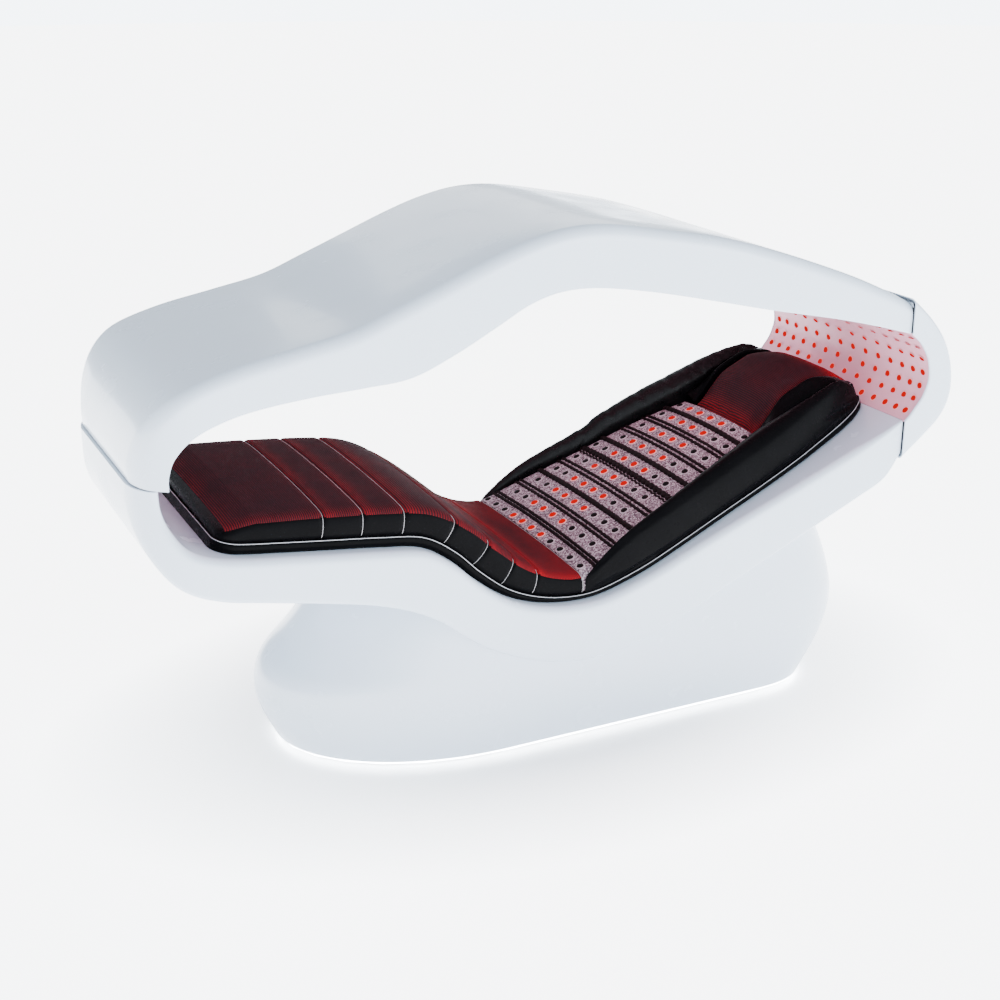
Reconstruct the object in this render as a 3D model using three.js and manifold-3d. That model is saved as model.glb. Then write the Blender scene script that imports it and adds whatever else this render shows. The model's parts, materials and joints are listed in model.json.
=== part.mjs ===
// Red light therapy couch: an S-shaped tub on a pedestal, a head cap and a canopy that lifts at the foot.
// Millimetres. +X runs from the foot to the head, +Y across, +Z up, floor at zero.
import * as THREE from 'three';
import { mergeVertices } from 'three/addons/utils/BufferGeometryUtils.js';
import Module from 'manifold-3d';

const wasm = await Module();
wasm.setup();

// Overall sizes
const couchLength = 2366;
const couchHeight = 1434;
const ringWidth = 750;
const capProud = 10;
const pedestalWidth = 720;
const ledgeWidth = 37;
const mattressWidth = ringWidth - 2 * ledgeWidth;

// Walls, fits and rounding
const contactGap = 0.3;
const seamGap = 0.5;
const runningGap = 1;
const looseGap = 1.5;
const cutOver = 40;
const shellWall = 4;
const ringEdgeRadius = 34;
const tubRimRadius = 24;
const tubKeelRadius = 14;
const capEdgeRadius = 18;
const noseCornerRadius = 150;
const filletSteps = 3;
const hollowSteps = 1;
const roundSides = 12;
const hexSides = 6;

// Outlines: each row holds an outer point and the inner point that faces it,
// as shares of the length and of the height
const canopyShares = [
  [-0.496, 0.630, -0.467, 0.630],
  [-0.497, 0.662, -0.466, 0.656],
  [-0.490, 0.713, -0.459, 0.687],
  [-0.473, 0.759, -0.440, 0.718],
  [-0.444, 0.794, -0.406, 0.740],
  [-0.393, 0.821, -0.368, 0.752],
  [-0.330, 0.841, -0.315, 0.760],
  [-0.270, 0.861, -0.262, 0.764],
  [-0.220, 0.892, -0.211, 0.771],
  [-0.169, 0.925, -0.161, 0.803],
  [-0.118, 0.958, -0.114, 0.842],
  [-0.072, 0.983, -0.076, 0.874],
  [-0.025, 0.998, -0.038, 0.890],
  [0.025, 0.997, 0.008, 0.889],
  [0.093, 0.978, 0.076, 0.870],
  [0.169, 0.952, 0.156, 0.840],
  [0.243, 0.916, 0.232, 0.810],
  [0.330, 0.865, 0.321, 0.778],
  [0.380, 0.831, 0.376, 0.755],
  [0.431, 0.791, 0.431, 0.729],
];
const tubShares = [
  [-0.4995, 0.629, -0.475, 0.629],
  [-0.4995, 0.586, -0.474, 0.593],
  [-0.495, 0.540, -0.467, 0.558],
  [-0.482, 0.492, -0.452, 0.524],
  [-0.461, 0.453, -0.429, 0.505],
  [-0.423, 0.425, -0.397, 0.494],
  [-0.376, 0.408, -0.355, 0.485],
  [-0.317, 0.388, -0.300, 0.474],
  [-0.258, 0.365, -0.245, 0.463],
  [-0.216, 0.340, -0.199, 0.450],
  [-0.182, 0.309, -0.165, 0.416],
  [-0.150, 0.266, -0.135, 0.370],
  [-0.114, 0.227, -0.099, 0.326],
  [-0.068, 0.193, -0.059, 0.299],
  [-0.021, 0.174, -0.013, 0.287],
  [0.025, 0.172, 0.030, 0.292],
  [0.076, 0.188, 0.085, 0.320],
  [0.131, 0.221, 0.139, 0.356],
  [0.194, 0.269, 0.203, 0.398],
  [0.262, 0.318, 0.266, 0.438],
  [0.321, 0.362, 0.325, 0.476],
  [0.372, 0.399, 0.372, 0.507],
  [0.410, 0.430, 0.406, 0.531],
  [0.431, 0.478, 0.431, 0.552],
];
const capShares = [
  [0.431, 0.799, 0.431, 0.728],
  [0.448, 0.775, 0.443, 0.711],
  [0.465, 0.748, 0.452, 0.692],
  [0.482, 0.713, 0.458, 0.673],
  [0.493, 0.676, 0.461, 0.654],
  [0.499, 0.638, 0.462, 0.633],
  [0.500, 0.603, 0.459, 0.614],
  [0.495, 0.570, 0.454, 0.596],
  [0.483, 0.540, 0.445, 0.577],
  [0.465, 0.514, 0.438, 0.563],
  [0.448, 0.492, 0.434, 0.557],
  [0.431, 0.471, 0.431, 0.553],
];
const canopySteps = 28;
const tubSteps = 30;
const capSteps = 16;
const tubWallShare = -0.455;
const tubRailFootShare = -0.440;
const tubTailShare = 0.355;
const canopyRailFootShare = -0.461;

// Pedestal levels: height share, foot end share, head end share, share of the pedestal's half width
const pedestalShares = [
  [0.014, -0.325, 0.353, 0.972],
  [0.070, -0.341, 0.380, 0.992],
  [0.119, -0.346, 0.396, 1.000],
  [0.164, -0.339, 0.402, 0.995],
  [0.209, -0.308, 0.398, 0.986],
  [0.265, -0.276, 0.387, 0.964],
  [0.321, -0.244, 0.372, 0.933],
  [0.370, -0.220, 0.361, 0.894],
  [0.418, -0.199, 0.352, 0.850],
];
const pedestalFootRoundShare = -0.097;
const pedestalHeadRoundShare = 0.237;
const pedestalHeadPower = 3;
const pedestalEndSteps = 7;

// Mattress, set out along the deck in shares of the length
const mattressFootShare = -0.425;
const mattressSeamShare = 0.002;
const matHeadShare = 0.285;
const bolsterFootShare = 0.004;
const bolsterHeadShare = 0.424;
const wingFootShare = 0.295;
const pillowHeadShare = 0.428;
const mattressFootCorner = 60;
const mattressHalfShares = [
  [0.080, 1.000], [0.133, 0.980], [0.191, 0.941], [0.251, 0.896], [0.313, 0.840], [0.346, 0.796],
  [0.381, 0.746], [0.399, 0.709], [0.409, 0.682], [0.417, 0.650], [0.424, 0.612], [0.430, 0.540],
];
const bandHeight = 29;
const bandShares = [
  [-0.200, 1.00], [-0.080, 0.69], [0.000, 0.55], [0.060, 0.62], [0.250, 0.69], [0.320, 0.79], [0.390, 0.93],
];
const padHeight = 100;
const padHeightShares = [
  [-0.425, 0.84], [-0.384, 0.88], [-0.319, 0.96], [-0.245, 1.00], [-0.185, 1.00], [-0.142, 1.05],
  [-0.110, 1.03], [-0.071, 0.91], [-0.036, 0.78], [0.000, 0.72], [0.050, 0.89], [0.100, 0.95],
  [0.150, 0.97], [0.200, 1.04], [0.250, 1.07], [0.285, 1.02],
];
const bolsterHeightShares = [
  [0.004, 0.62], [0.015, 0.86], [0.044, 1.14], [0.085, 1.37], [0.140, 1.43], [0.195, 1.48],
  [0.260, 1.52], [0.370, 1.52], [0.400, 1.46], [0.415, 1.25], [0.424, 0.95],
];
// The gathered arm rest on the far side stands higher, by these shares of the cushion's height
const farLiftShares = [
  [0.155, 0], [0.184, 0.13], [0.226, 0.22], [0.273, 0.28], [0.340, 0.28], [0.368, 0.22],
  [0.390, 0.14], [0.405, 0.06], [0.415, 0],
];
const pillowHeightShares = [
  [0.285, 0.94], [0.301, 1.10], [0.320, 1.37], [0.337, 1.58], [0.360, 1.65], [0.378, 1.65],
  [0.395, 1.50], [0.413, 1.24], [0.422, 0.95], [0.428, 0.70],
];
const wingSeamShares = [[0.295, 1.18], [0.365, 1.25], [0.400, 1.25], [0.410, 1.15], [0.424, 0.80]];
// Section of the leather beside the mat, in shares of its width and height
const bolsterRowShares = [
  [0, 0], [0, 0.75], [0.08, 0.92], [0.28, 1.00], [0.55, 1.02], [0.78, 0.93], [0.93, 0.68],
  [1.00, 0.38], [1.00, 0.10], [0.96, 0.00],
];
const channelShares = [-0.311, -0.267, -0.221, -0.178, -0.144, -0.107, -0.066];
const channelDepth = 7;
const channelHalf = 13;
const padCrown = 8;
const matCrown = 14;
const pillowCrown = 14;
const padSideBulge = 6;
const matHeadWidthShare = 0.6243;
const matTaperPower = 1.35;
const bolsterEndWidth = 8;
const pillowWidthShare = 0.488;
const wingBulge = 5;
const softGap = 1;
const padFootShares = [[0, 0.42], [1.5, 0.58], [3, 0.74], [5, 0.90], [7.5, 1.00]];
const padEndShare = 0.90;
const padSwellShare = 1.02;
const baseSteps = 22;
const matSteps = 14;
const bolsterSteps = 13;
const pillowSteps = 16;
const wingSteps = 12;
const wingRows = 3;

// Canopy hinge, lift actuators and their pins
const hingeCornerRadius = 20;
const hingeShaftRadius = 7;
const bushWall = 2;
const hingePlate = 10;
const hingePlateInset = 50;
const knucklePlate = 12;
const shaftEnd = 10;
const headBeamHeight = 16;
const canopyCrossShares = [0.16, 0.34, 0.52, 0.70, 0.86];
const actuatorLowerShare = 0.4388;
const actuatorLowerLift = 32;
const actuatorUpperShare = 0.2943;
const actuatorUpperLift = 60;
const actuatorTubeRadius = 12;
const actuatorTubeLength = 190;
const actuatorEyeRadius = 12;
const actuatorEyeWidth = 16;
const actuatorRodRadius = 6;
const actuatorPinRadius = 5;
const actuatorSideGap = 8;
const actuatorRailGap = 18;

// Steelwork
const railDepth = 44;
const railWidth = 30;
const railWall = 3;
const crossBar = 26;
const ladderTube = 40;
const ladderInset = 120;
const ladderRise = 2;
const uprightLength = 60;
const uprightWidth = 24;
const uprightShare = 0.7;
const bearerSheet = 6;
const ladderFootShare = -0.203;
const ladderHeadShare = 0.279;
const uprightFootShare = -0.097;
const uprightHeadShare = 0.182;
const framePlateInset = 12;
const headTieShares = [0.45, 0.75];
const headBoltShares = [0.93, 0.97];
const tubCrossShares = [0.20, 0.34, 0.46, 0.62, 0.78, 0.90];
const canopyBoardShares = [[-0.43, -0.16], [-0.15, 0.13], [0.14, 0.40]];
const frameBoltRadius = 5;
const frameBoltHead = 9;
const frameBoltHeadHeight = 7;

// Panels and lamps
const linerWall = 5;
const linerRecess = 3;
const boardWall = 2;
const boardMargin = 40;
const deckWall = 6;
const deckMargin = 45;
const deckFootShare = -0.416;
const deckHeadShare = 0.376;
const nosePadRadius = 16;
const nosePadHeight = 2.4;
const nosePadShare = 0.2;

// Levelling feet
const footPadRadius = 30;
const footPadHeight = 12;
const footCollarRadius = 14;
const footStemRadius = 8;
const footStemLength = 32;

// Electrical pieces in the pedestal
const traySheet = 3;
const trayEndGap = 20;
const trayOverhang = 10;
const trayMargin = 20;
const driverSize = [220, 90, 48];
const driverPitch = 130;
const driverCount = 3;
const driverFin = 8;
const driverFinShares = [-0.33, 0, 0.33];
const controlSize = [120, 300, 40];
const ventWidth = 150;
const ventHeight = 90;
const ventCentreShares = [0.030, 0.110];
const ventLevelShare = 0.115;
const ventSlots = 6;
const ventSheet = 5;
const fanSize = 120;
const fanDepth = 25;
const fanWall = 4;
const fanHubRadius = 20;
const fanShaftRadius = 3;
const fanBlades = 5;
const fanBladeSheet = 3;
const fanBladeDepthShare = 0.8;
const fanBladeTilt = Math.PI / 5;
const inletShare = -0.060;
const inletLevel = 110;
const inletPlate = [110, 60, 4];
const inletBody = [30, 26, 34];
const inletPin = 3;
const inletRecessShare = 0.7;
const inletPinReachShares = [0.2, 0.8];
const inletPinPlaceShares = [[-1, -0.5], [0, 0.5], [1, -0.5]];
const rockerBody = [24, 32, 22];
const rockerPivotRadius = 2;
const rockerTilt = Math.PI / 22;
const stripWidth = 10;
const stripHeight = 8;

// Finishes as seen: colour, roughness, metalness
const finishes = {
  shell: [0xe6eaf2, 0.16, 0],
  liner: [0xe9d7dc, 0.35, 0],
  leather: [0x17181a, 0.42, 0],
  mesh: [0x6d0f14, 0.8, 0],
  knit: [0x9b8088, 0.85, 0],
  steel: [0x8d9196, 0.4, 0.9],
  darkSteel: [0x3b3e42, 0.5, 0.8],
  board: [0x1d5138, 0.6, 0],
  rubber: [0x202020, 0.9, 0],
  plastic: [0x1b1c1e, 0.5, 0],
  casing: [0xaeb4ba, 0.45, 0.6],
  light: [0xffffff, 0.3, 0],
};

// Solids and meshes
function toSolid(geometry) {
  const plain = geometry.index ? geometry.clone() : geometry;
  plain.deleteAttribute('normal');
  plain.deleteAttribute('uv');
  const merged = mergeVertices(plain, 1e-4);
  const triVerts = new Uint32Array(merged.index.array);
  const vertProperties = new Float32Array(merged.attributes.position.array);
  return new wasm.Manifold(new wasm.Mesh({ numProp: 3, vertProperties, triVerts }));
}

function toGeometry(solid) {
  const mesh = solid.getMesh();
  const geometry = new THREE.BufferGeometry();
  geometry.setAttribute('position', new THREE.BufferAttribute(new Float32Array(mesh.vertProperties), 3));
  geometry.setIndex(new THREE.BufferAttribute(new Uint32Array(mesh.triVerts), 1));
  return geometry;
}

const couch = new THREE.Group();

function addNode(name, finish, solid) {
  const [color, roughness, metalness] = finishes[finish];
  const material = new THREE.MeshStandardMaterial({ color, roughness, metalness });
  const mesh = new THREE.Mesh(toGeometry(solid), material);
  mesh.name = name;
  couch.add(mesh);
  return mesh;
}

// Two offsets across, from the middle outwards, turned over for the near side
function mirrored(side, inner, outer) {
  return side > 0 ? [inner, outer] : [-outer, -inner];
}

function unite(solids) {
  return solids.reduce((whole, next) => whole.add(next));
}

// A box given by its lowest and highest corners
function boxBetween(low, high) {
  const size = high.map((value, axis) => value - low[axis]);
  const geometry = new THREE.BoxGeometry(...size);
  geometry.translate(...low.map((value, axis) => value + size[axis] / 2));
  return toSolid(geometry);
}

// A box of a given size around a centre
function boxAt(centre, size) {
  return boxBetween(centre.map((value, axis) => value - size[axis] / 2),
    centre.map((value, axis) => value + size[axis] / 2));
}

// A round bar along Y between two offsets, at a place in the side view
function barAcross([x, z], radius, from, to, sides = roundSides) {
  const geometry = new THREE.CylinderGeometry(radius, radius, to - from, sides);
  geometry.translate(x, (from + to) / 2, z);
  return toSolid(geometry);
}

// An upright round bar between two heights, at a place in plan
function barUp([x, y], radius, low, high, sides = roundSides) {
  const geometry = new THREE.CylinderGeometry(radius, radius, high - low, sides);
  geometry.rotateX(Math.PI / 2);
  geometry.translate(x, y, (low + high) / 2);
  return toSolid(geometry);
}

// A round bar between two points of the side view, centred on one offset across
function barAlong(start, end, across, radius, sides = roundSides) {
  const length = Math.hypot(end[0] - start[0], end[1] - start[1]);
  const geometry = new THREE.CylinderGeometry(radius, radius, length, sides);
  geometry.rotateZ(-Math.PI / 2);
  geometry.rotateY(-Math.atan2(end[1] - start[1], end[0] - start[0]));
  geometry.translate((start[0] + end[0]) / 2, across, (start[1] + end[1]) / 2);
  return toSolid(geometry);
}

// A flat outline of the side view, given thickness across between two offsets
function plateAcross(points, from, to) {
  const shape = new THREE.Shape(points.map(([x, z]) => new THREE.Vector2(x, z)));
  const geometry = new THREE.ExtrudeGeometry(shape, { depth: to - from, bevelEnabled: false });
  geometry.rotateX(Math.PI / 2);
  geometry.translate(0, to, 0);
  return toSolid(geometry);
}

function signedVolume(positions, indices) {
  let sum = 0;
  for (let i = 0; i < indices.length; i += 3) {
    const [a, b, c] = [0, 1, 2].map((k) => new THREE.Vector3(...positions[indices[i + k]]));
    sum += a.dot(b.cross(c));
  }
  return sum;
}

// A closed body through rings with equally many points, capped at both ends
function loft(rings) {
  const count = rings[0].length;
  const positions = rings.flat();
  const indices = [];
  for (let r = 0; r + 1 < rings.length; r += 1) {
    for (let k = 0; k < count; k += 1) {
      const a = r * count + k;
      const b = r * count + ((k + 1) % count);
      indices.push(a, b, b + count, a, b + count, a + count);
    }
  }
  const last = (rings.length - 1) * count;
  for (let k = 1; k + 1 < count; k += 1) {
    indices.push(0, k + 1, k, last, last + k, last + k + 1);
  }
  if (signedVolume(positions, indices) < 0) {
    indices.reverse();
  }
  const geometry = new THREE.BufferGeometry();
  geometry.setAttribute('position', new THREE.BufferAttribute(new Float32Array(positions.flat()), 3));
  geometry.setIndex(indices);
  return toSolid(geometry);
}

// Stations: facing points of the outer and inner outlines, smoothed
function stationsFrom(shares, steps) {
  const outer = shares.map(([x, z]) => new THREE.Vector2(x * couchLength, z * couchHeight));
  const inner = shares.map(([, , x, z]) => new THREE.Vector2(x * couchLength, z * couchHeight));
  const outerCurve = new THREE.SplineCurve(outer);
  const innerCurve = new THREE.SplineCurve(inner);
  const stations = [];
  for (let k = 0; k <= steps; k += 1) {
    stations.push({ outer: outerCurve.getPoint(k / steps), inner: innerCurve.getPoint(k / steps) });
  }
  return stations;
}

function thicknessOf(station) {
  return station.outer.distanceTo(station.inner);
}

// The point of a station at a distance from its inner side
function fromInner(station, distance) {
  return station.inner.clone().lerp(station.outer, distance / thicknessOf(station));
}

// One more station past an end, so that a cut runs out of the body
function extended(stations, atStart, atEnd) {
  const past = (edge, before) => {
    const step = edge.outer.clone().sub(before.outer).setLength(cutOver);
    return { outer: edge.outer.clone().add(step), inner: edge.inner.clone().add(step) };
  };
  const result = [...stations];
  if (atStart) {
    result.unshift(past(stations[0], stations[1]));
  }
  if (atEnd) {
    result.push(past(stations.at(-1), stations.at(-2)));
  }
  return result;
}

// The half width of the ring in plan: straight, with rounded corners at the foot
const footX = -couchLength / 2;
function ringHalf(x) {
  const run = footX + noseCornerRadius - x;
  if (run <= 0) {
    return ringWidth / 2;
  }
  const drop = Math.sqrt(Math.max(noseCornerRadius ** 2 - run ** 2, 0));
  return ringWidth / 2 - noseCornerRadius + drop;
}

// One section of a band: low and high are distances from the inner side
function sectionRing(station, sheet) {
  const { low, high, lowRadius = 0, highRadius = 0, halfAt, arcSteps = filletSteps } = sheet;
  const thick = thicknessOf(station);
  const levels = [low(thick), high(thick)];
  const corners = [[1, 0, lowRadius], [1, 1, highRadius], [-1, 1, highRadius], [-1, 0, lowRadius]];
  return corners.flatMap(([side, top, radius], index) => {
    const steps = radius > 0 ? arcSteps : 0;
    return Array.from({ length: steps + 1 }, (_, k) => {
      const turn = steps ? (k / steps) * (Math.PI / 2) : Math.PI / 2;
      const angle = index % 2 === 0 ? turn : Math.PI / 2 - turn;
      const fromSide = radius * (1 - Math.sin(angle));
      const fromLevel = radius * (1 - Math.cos(angle));
      const point = fromInner(station, levels[top] + (top ? -fromLevel : fromLevel));
      return [point.x, side * (halfAt(point.x) - fromSide), point.y];
    });
  });
}

function band(stations, sheet) {
  return loft(stations.map((station) => sectionRing(station, sheet)));
}

// A band of constant half width, between two distances from the inner side
function stripBand(stations, low, high, from, to) {
  const near = stations.map((station) => fromInner(station, low(thicknessOf(station))));
  const far = stations.map((station) => fromInner(station, high(thicknessOf(station)))).reverse();
  return plateAcross([...near, ...far].map((point) => [point.x, point.y]), from, to);
}

// The upper envelope of the side view, above a line of points
function roofOver(points, from, to) {
  const top = couchHeight + cutOver;
  const [first, last] = [points[0], points.at(-1)];
  return plateAcross([...points, [last[0], top], [first[0], top]], from, to);
}

// The stations of a band from a place on, given as a share of the length
function fromShare(stations, share) {
  return stations.filter((station) => station.inner.x > share * couchLength);
}

// Every second station, for what is hidden inside
function coarse(stations) {
  return stations.filter((station, index) => index % 2 === 0 || index === stations.length - 1);
}

const canopyStations = stationsFrom(canopyShares, canopySteps);
const tubStations = stationsFrom(tubShares, tubSteps);
const capStations = stationsFrom(capShares, capSteps);

// Shut lines: the vertical one at the head, the level one under the canopy's nose
const shutX = canopyStations.at(-1).outer.x;
const noseBottom = canopyStations[0].outer.y;
const tubTop = noseBottom - nosePadHeight - 2 * contactGap;

function headOf(x) {
  const far = couchLength;
  return boxBetween([x, -far, 0], [x + far, far, couchHeight + far]);
}

function footOf(x) {
  const far = couchLength;
  return boxBetween([x - far, -far, -far], [x, far, couchHeight + far]);
}

function below(z) {
  const far = couchLength;
  return boxBetween([-far, -far, z - far], [far, far, z]);
}

function above(z) {
  const far = couchLength;
  return boxBetween([-far, -far, z], [far, far, z + far]);
}

// Height of the outer side of the canopy at a place along the couch
function canopyTopAt(x) {
  const index = canopyStations.findIndex((station, k) => k > 0 && station.outer.x > x);
  const [a, b] = [canopyStations[index - 1].outer, canopyStations[index].outer];
  return { z: a.y + ((x - a.x) / (b.x - a.x)) * (b.y - a.y), slope: (b.y - a.y) / (b.x - a.x) };
}

// The hinge lies under the canopy's head corner, which is rounded about it
const hingeX = shutX - seamGap - hingeCornerRadius;
const hingeTop = canopyTopAt(hingeX);
const hingeZ = hingeTop.z - hingeCornerRadius * Math.hypot(1, hingeTop.slope);
const hinge = [hingeX, hingeZ];
const knuckleRadius = hingeCornerRadius - shellWall - runningGap;
const bushRadius = hingeShaftRadius + bushWall;
const hingePlateOuter = ringWidth / 2 - hingePlateInset;
const hingePlateInner = hingePlateOuter - hingePlate;
const knuckleOuter = hingePlateInner - runningGap;
const knuckleInner = knuckleOuter - knucklePlate;

// A point of the side view at a height above the inner side of a band
function overInner(stations, x, lift) {
  const index = stations.findIndex((station, k) => k > 0 && station.inner.x > x);
  const [a, b] = [stations[index - 1].inner, stations[index].inner];
  return [x, a.y + ((x - a.x) / (b.x - a.x)) * (b.y - a.y) + lift];
}

// The actuators lie between the knuckles and the canopy's rails
const actuatorLowerPin = overInner(capStations, actuatorLowerShare * couchLength, actuatorLowerLift);
const actuatorUpperPin = overInner(canopyStations, actuatorUpperShare * couchLength, actuatorUpperLift);
const actuatorOffset = knuckleInner - actuatorSideGap - actuatorTubeRadius;
const canopyRailOuter = actuatorOffset - actuatorTubeRadius - actuatorRailGap;

// The hollow of the canopy, open below and at the head; what lies in it keeps a gap to its walls
function canopyHollow(gap) {
  const wall = shellWall + gap;
  return band(extended(canopyStations, false, true), {
    low: () => -cutOver,
    high: (thick) => thick - wall,
    highRadius: ringEdgeRadius - wall,
    arcSteps: hollowSteps,
    halfAt: (x) => ringHalf(x - wall) - wall,
  }).subtract(below(noseBottom + wall));
}

function canopyShell() {
  const outer = band(extended(canopyStations, true, false), {
    low: () => 0,
    high: (thick) => thick,
    highRadius: ringEdgeRadius,
    halfAt: ringHalf,
  });
  const far = couchLength - hingeX;
  const corner = [];
  for (let k = 0; k <= filletSteps * 2; k += 1) {
    const angle = Math.PI / 2 - (k / (filletSteps * 2)) * (Math.PI / 2);
    corner.push([hingeX + hingeCornerRadius * Math.cos(angle), hingeZ + hingeCornerRadius * Math.sin(angle)]);
  }
  const half = ringWidth / 2 + cutOver;
  const cornerCut = plateAcross([...corner, [hingeX + far, hingeZ], [hingeX + far, couchHeight],
    [hingeX, couchHeight]], -half, half);
  return outer.subtract(below(noseBottom)).subtract(canopyHollow(0)).subtract(headOf(shutX - seamGap))
    .subtract(cornerCut);
}

// The white panel that closes the canopy's underside
function canopyLiner() {
  return band(canopyStations, {
    low: () => linerRecess,
    high: () => linerRecess + linerWall,
    halfAt: ringHalf,
  }).intersect(canopyHollow(contactGap)).subtract(headOf(hingeX));
}

// Lamp boards on the liner's inner side, one for each third of the canopy
function canopyBoard([footShare, headShare]) {
  const low = linerRecess + linerWall + contactGap;
  return band(canopyStations, {
    low: () => low,
    high: () => low + boardWall,
    halfAt: (x) => ringHalf(x) - boardMargin,
  }).subtract(footOf(footShare * couchLength)).subtract(headOf(headShare * couchLength));
}

// A channel-shaped rail that follows a band, its open side towards the middle
function channelRail(stations, low, high, outerY, side) {
  const inner = outerY - railWidth;
  const body = stripBand(stations, low, high, ...mirrored(side, inner, outerY));
  const hollow = stripBand(extended(stations, true, true), (thick) => low(thick) + railWall,
    (thick) => high(thick) - railWall, ...mirrored(side, inner - cutOver, outerY - railWall));
  return body.subtract(hollow);
}

function middleOf(stations, share, low, high) {
  const station = stations[Math.round(share * (stations.length - 1))];
  const thick = thicknessOf(station);
  return fromInner(station, (low(thick) + high(thick)) / 2);
}

// Steel inside the canopy: two rails with cross bars, hinge knuckles and actuator pins
function canopyFrame() {
  const high = (thick) => thick - shellWall - contactGap;
  const low = (thick) => high(thick) - railDepth;
  const stations = coarse(fromShare(canopyStations, canopyRailFootShare));
  const railHead = hingeX - railDepth;
  const room = canopyHollow(contactGap).subtract(headOf(railHead));
  const rails = [1, -1].map((side) => channelRail(stations, low, high, canopyRailOuter, side)
    .intersect(room));
  const reach = canopyRailOuter - railWall / 2;
  const bars = canopyCrossShares.map((share) => {
    const point = middleOf(canopyStations, share, low, high);
    return boxAt([point.x, 0, point.y], [crossBar, 2 * reach, crossBar]);
  });
  // The head beam carries the two hinge knuckles
  const beamX = railHead - crossBar / 2;
  const beamTop = canopyTopAt(beamX + crossBar).z - shellWall * 2;
  const beamLow = beamTop - headBeamHeight;
  const beam = boxBetween([beamX - crossBar / 2, -knuckleOuter, beamLow],
    [beamX + crossBar / 2, knuckleOuter, beamTop]);
  const knuckles = [1, -1].map((side) => {
    const [from, to] = mirrored(side, knuckleInner, knuckleOuter);
    const arm = plateAcross([
      [beamX, beamLow], [hingeX, hingeZ - knuckleRadius], [hingeX, hingeZ + knuckleRadius], [beamX, beamTop],
    ], from, to);
    const bore = barAcross(hinge, hingeShaftRadius + contactGap, from - cutOver, to + cutOver);
    return arm.add(barAcross(hinge, knuckleRadius, from, to)).subtract(bore);
  });
  // Each rail has a pin for its lift actuator, on a cheek plate
  const cheeks = [1, -1].map((side) => {
    const [x, z] = actuatorUpperPin;
    const pad = actuatorEyeRadius;
    const [from, to] = mirrored(side, canopyRailOuter - railWall, canopyRailOuter);
    const railMiddle = canopyTopAt(x).z - shellWall - railDepth / 2;
    const cheek = boxBetween([x - pad, from, z - pad], [x + pad, to, railMiddle]);
    const pinReach = mirrored(side, canopyRailOuter - railWall, actuatorOffset + actuatorEyeWidth);
    return cheek.add(barAcross(actuatorUpperPin, actuatorPinRadius, ...pinReach));
  });
  return unite([...rails, ...bars, beam, ...knuckles, ...cheeks]);
}

function hingeShaft() {
  const reach = hingePlateOuter + shaftEnd;
  return barAcross(hinge, hingeShaftRadius, -reach, reach);
}

function hingeBush(side) {
  const [from, to] = mirrored(side, hingePlateInner, hingePlateOuter);
  return barAcross(hinge, bushRadius, from, to)
    .subtract(barAcross(hinge, hingeShaftRadius + contactGap, from - cutOver, to + cutOver));
}

// Lift actuators: a tube with its motor, hung on the head frame, and a rod to the canopy
const actuatorSpan = Math.hypot(...actuatorUpperPin.map((value, axis) => value - actuatorLowerPin[axis]));
function alongActuator(distance) {
  const share = distance / actuatorSpan;
  return actuatorLowerPin.map((value, axis) => value + (actuatorUpperPin[axis] - value) * share);
}

function actuatorEye(centre, side, clearance) {
  const half = actuatorEyeWidth / 2;
  const [from, to] = mirrored(side, actuatorOffset - half, actuatorOffset + half);
  return {
    ring: barAcross(centre, actuatorEyeRadius, from, to),
    bore: barAcross(centre, actuatorPinRadius + clearance, from - cutOver, to + cutOver),
  };
}

const actuatorEyeNeck = actuatorEyeRadius * 1.5;
function actuatorTube(side) {
  const { ring, bore } = actuatorEye(actuatorLowerPin, side, contactGap);
  const across = side * actuatorOffset;
  const neck = barAlong(alongActuator(actuatorPinRadius), alongActuator(actuatorEyeNeck), across,
    actuatorRodRadius);
  const end = actuatorEyeNeck + actuatorTubeLength;
  const tube = barAlong(alongActuator(actuatorEyeNeck), alongActuator(end), across, actuatorTubeRadius);
  const rodBore = barAlong(alongActuator(actuatorEyeNeck * 2), alongActuator(end + cutOver), across,
    actuatorRodRadius + contactGap);
  return unite([ring, neck, tube]).subtract(bore).subtract(rodBore);
}

function actuatorRod(side) {
  const { ring, bore } = actuatorEye(actuatorUpperPin, side, looseGap);
  const across = side * actuatorOffset;
  const end = actuatorSpan - actuatorPinRadius;
  const rod = barAlong(alongActuator(actuatorTubeLength / 2), alongActuator(end), across, actuatorRodRadius);
  return ring.add(rod).subtract(bore);
}

// Head cap: a C-shaped casing with a lamp wall inside its hollow
function capHalf() {
  return ringWidth / 2 + capProud;
}

function headCapShell() {
  const outer = band(capStations, {
    low: () => 0,
    high: (thick) => thick,
    highRadius: capEdgeRadius,
    halfAt: capHalf,
  });
  const cavity = band(extended(capStations, true, true), {
    low: () => -cutOver,
    high: (thick) => thick - shellWall,
    highRadius: capEdgeRadius - shellWall,
    arcSteps: hollowSteps,
    halfAt: () => capHalf() - shellWall,
  });
  return outer.subtract(cavity).subtract(footOf(shutX));
}

function headLampPanel() {
  return band(capStations, {
    low: () => 0,
    high: () => linerWall,
    halfAt: () => capHalf() - shellWall - contactGap,
  }).subtract(footOf(shutX + contactGap));
}

function headLampBoard() {
  const low = linerWall + contactGap;
  return band(capStations.slice(1, -1), {
    low: () => low,
    high: () => low + boardWall,
    halfAt: () => capHalf() - boardMargin,
  });
}

// Head frame: two C-shaped plates inside the cap, tied by bars; they hold the hinge and reach into the tub
const plateLow = linerWall + boardWall + framePlateInset;
const tubRailHigh = (thick) => thick - shellWall - contactGap;
const tubRailLow = (thick) => tubRailHigh(thick) - railDepth;
const headBolts = headBoltShares.map((share) => {
  const point = middleOf(tubStations, share, tubRailLow, tubRailHigh);
  return [point.x, point.y];
});

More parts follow.
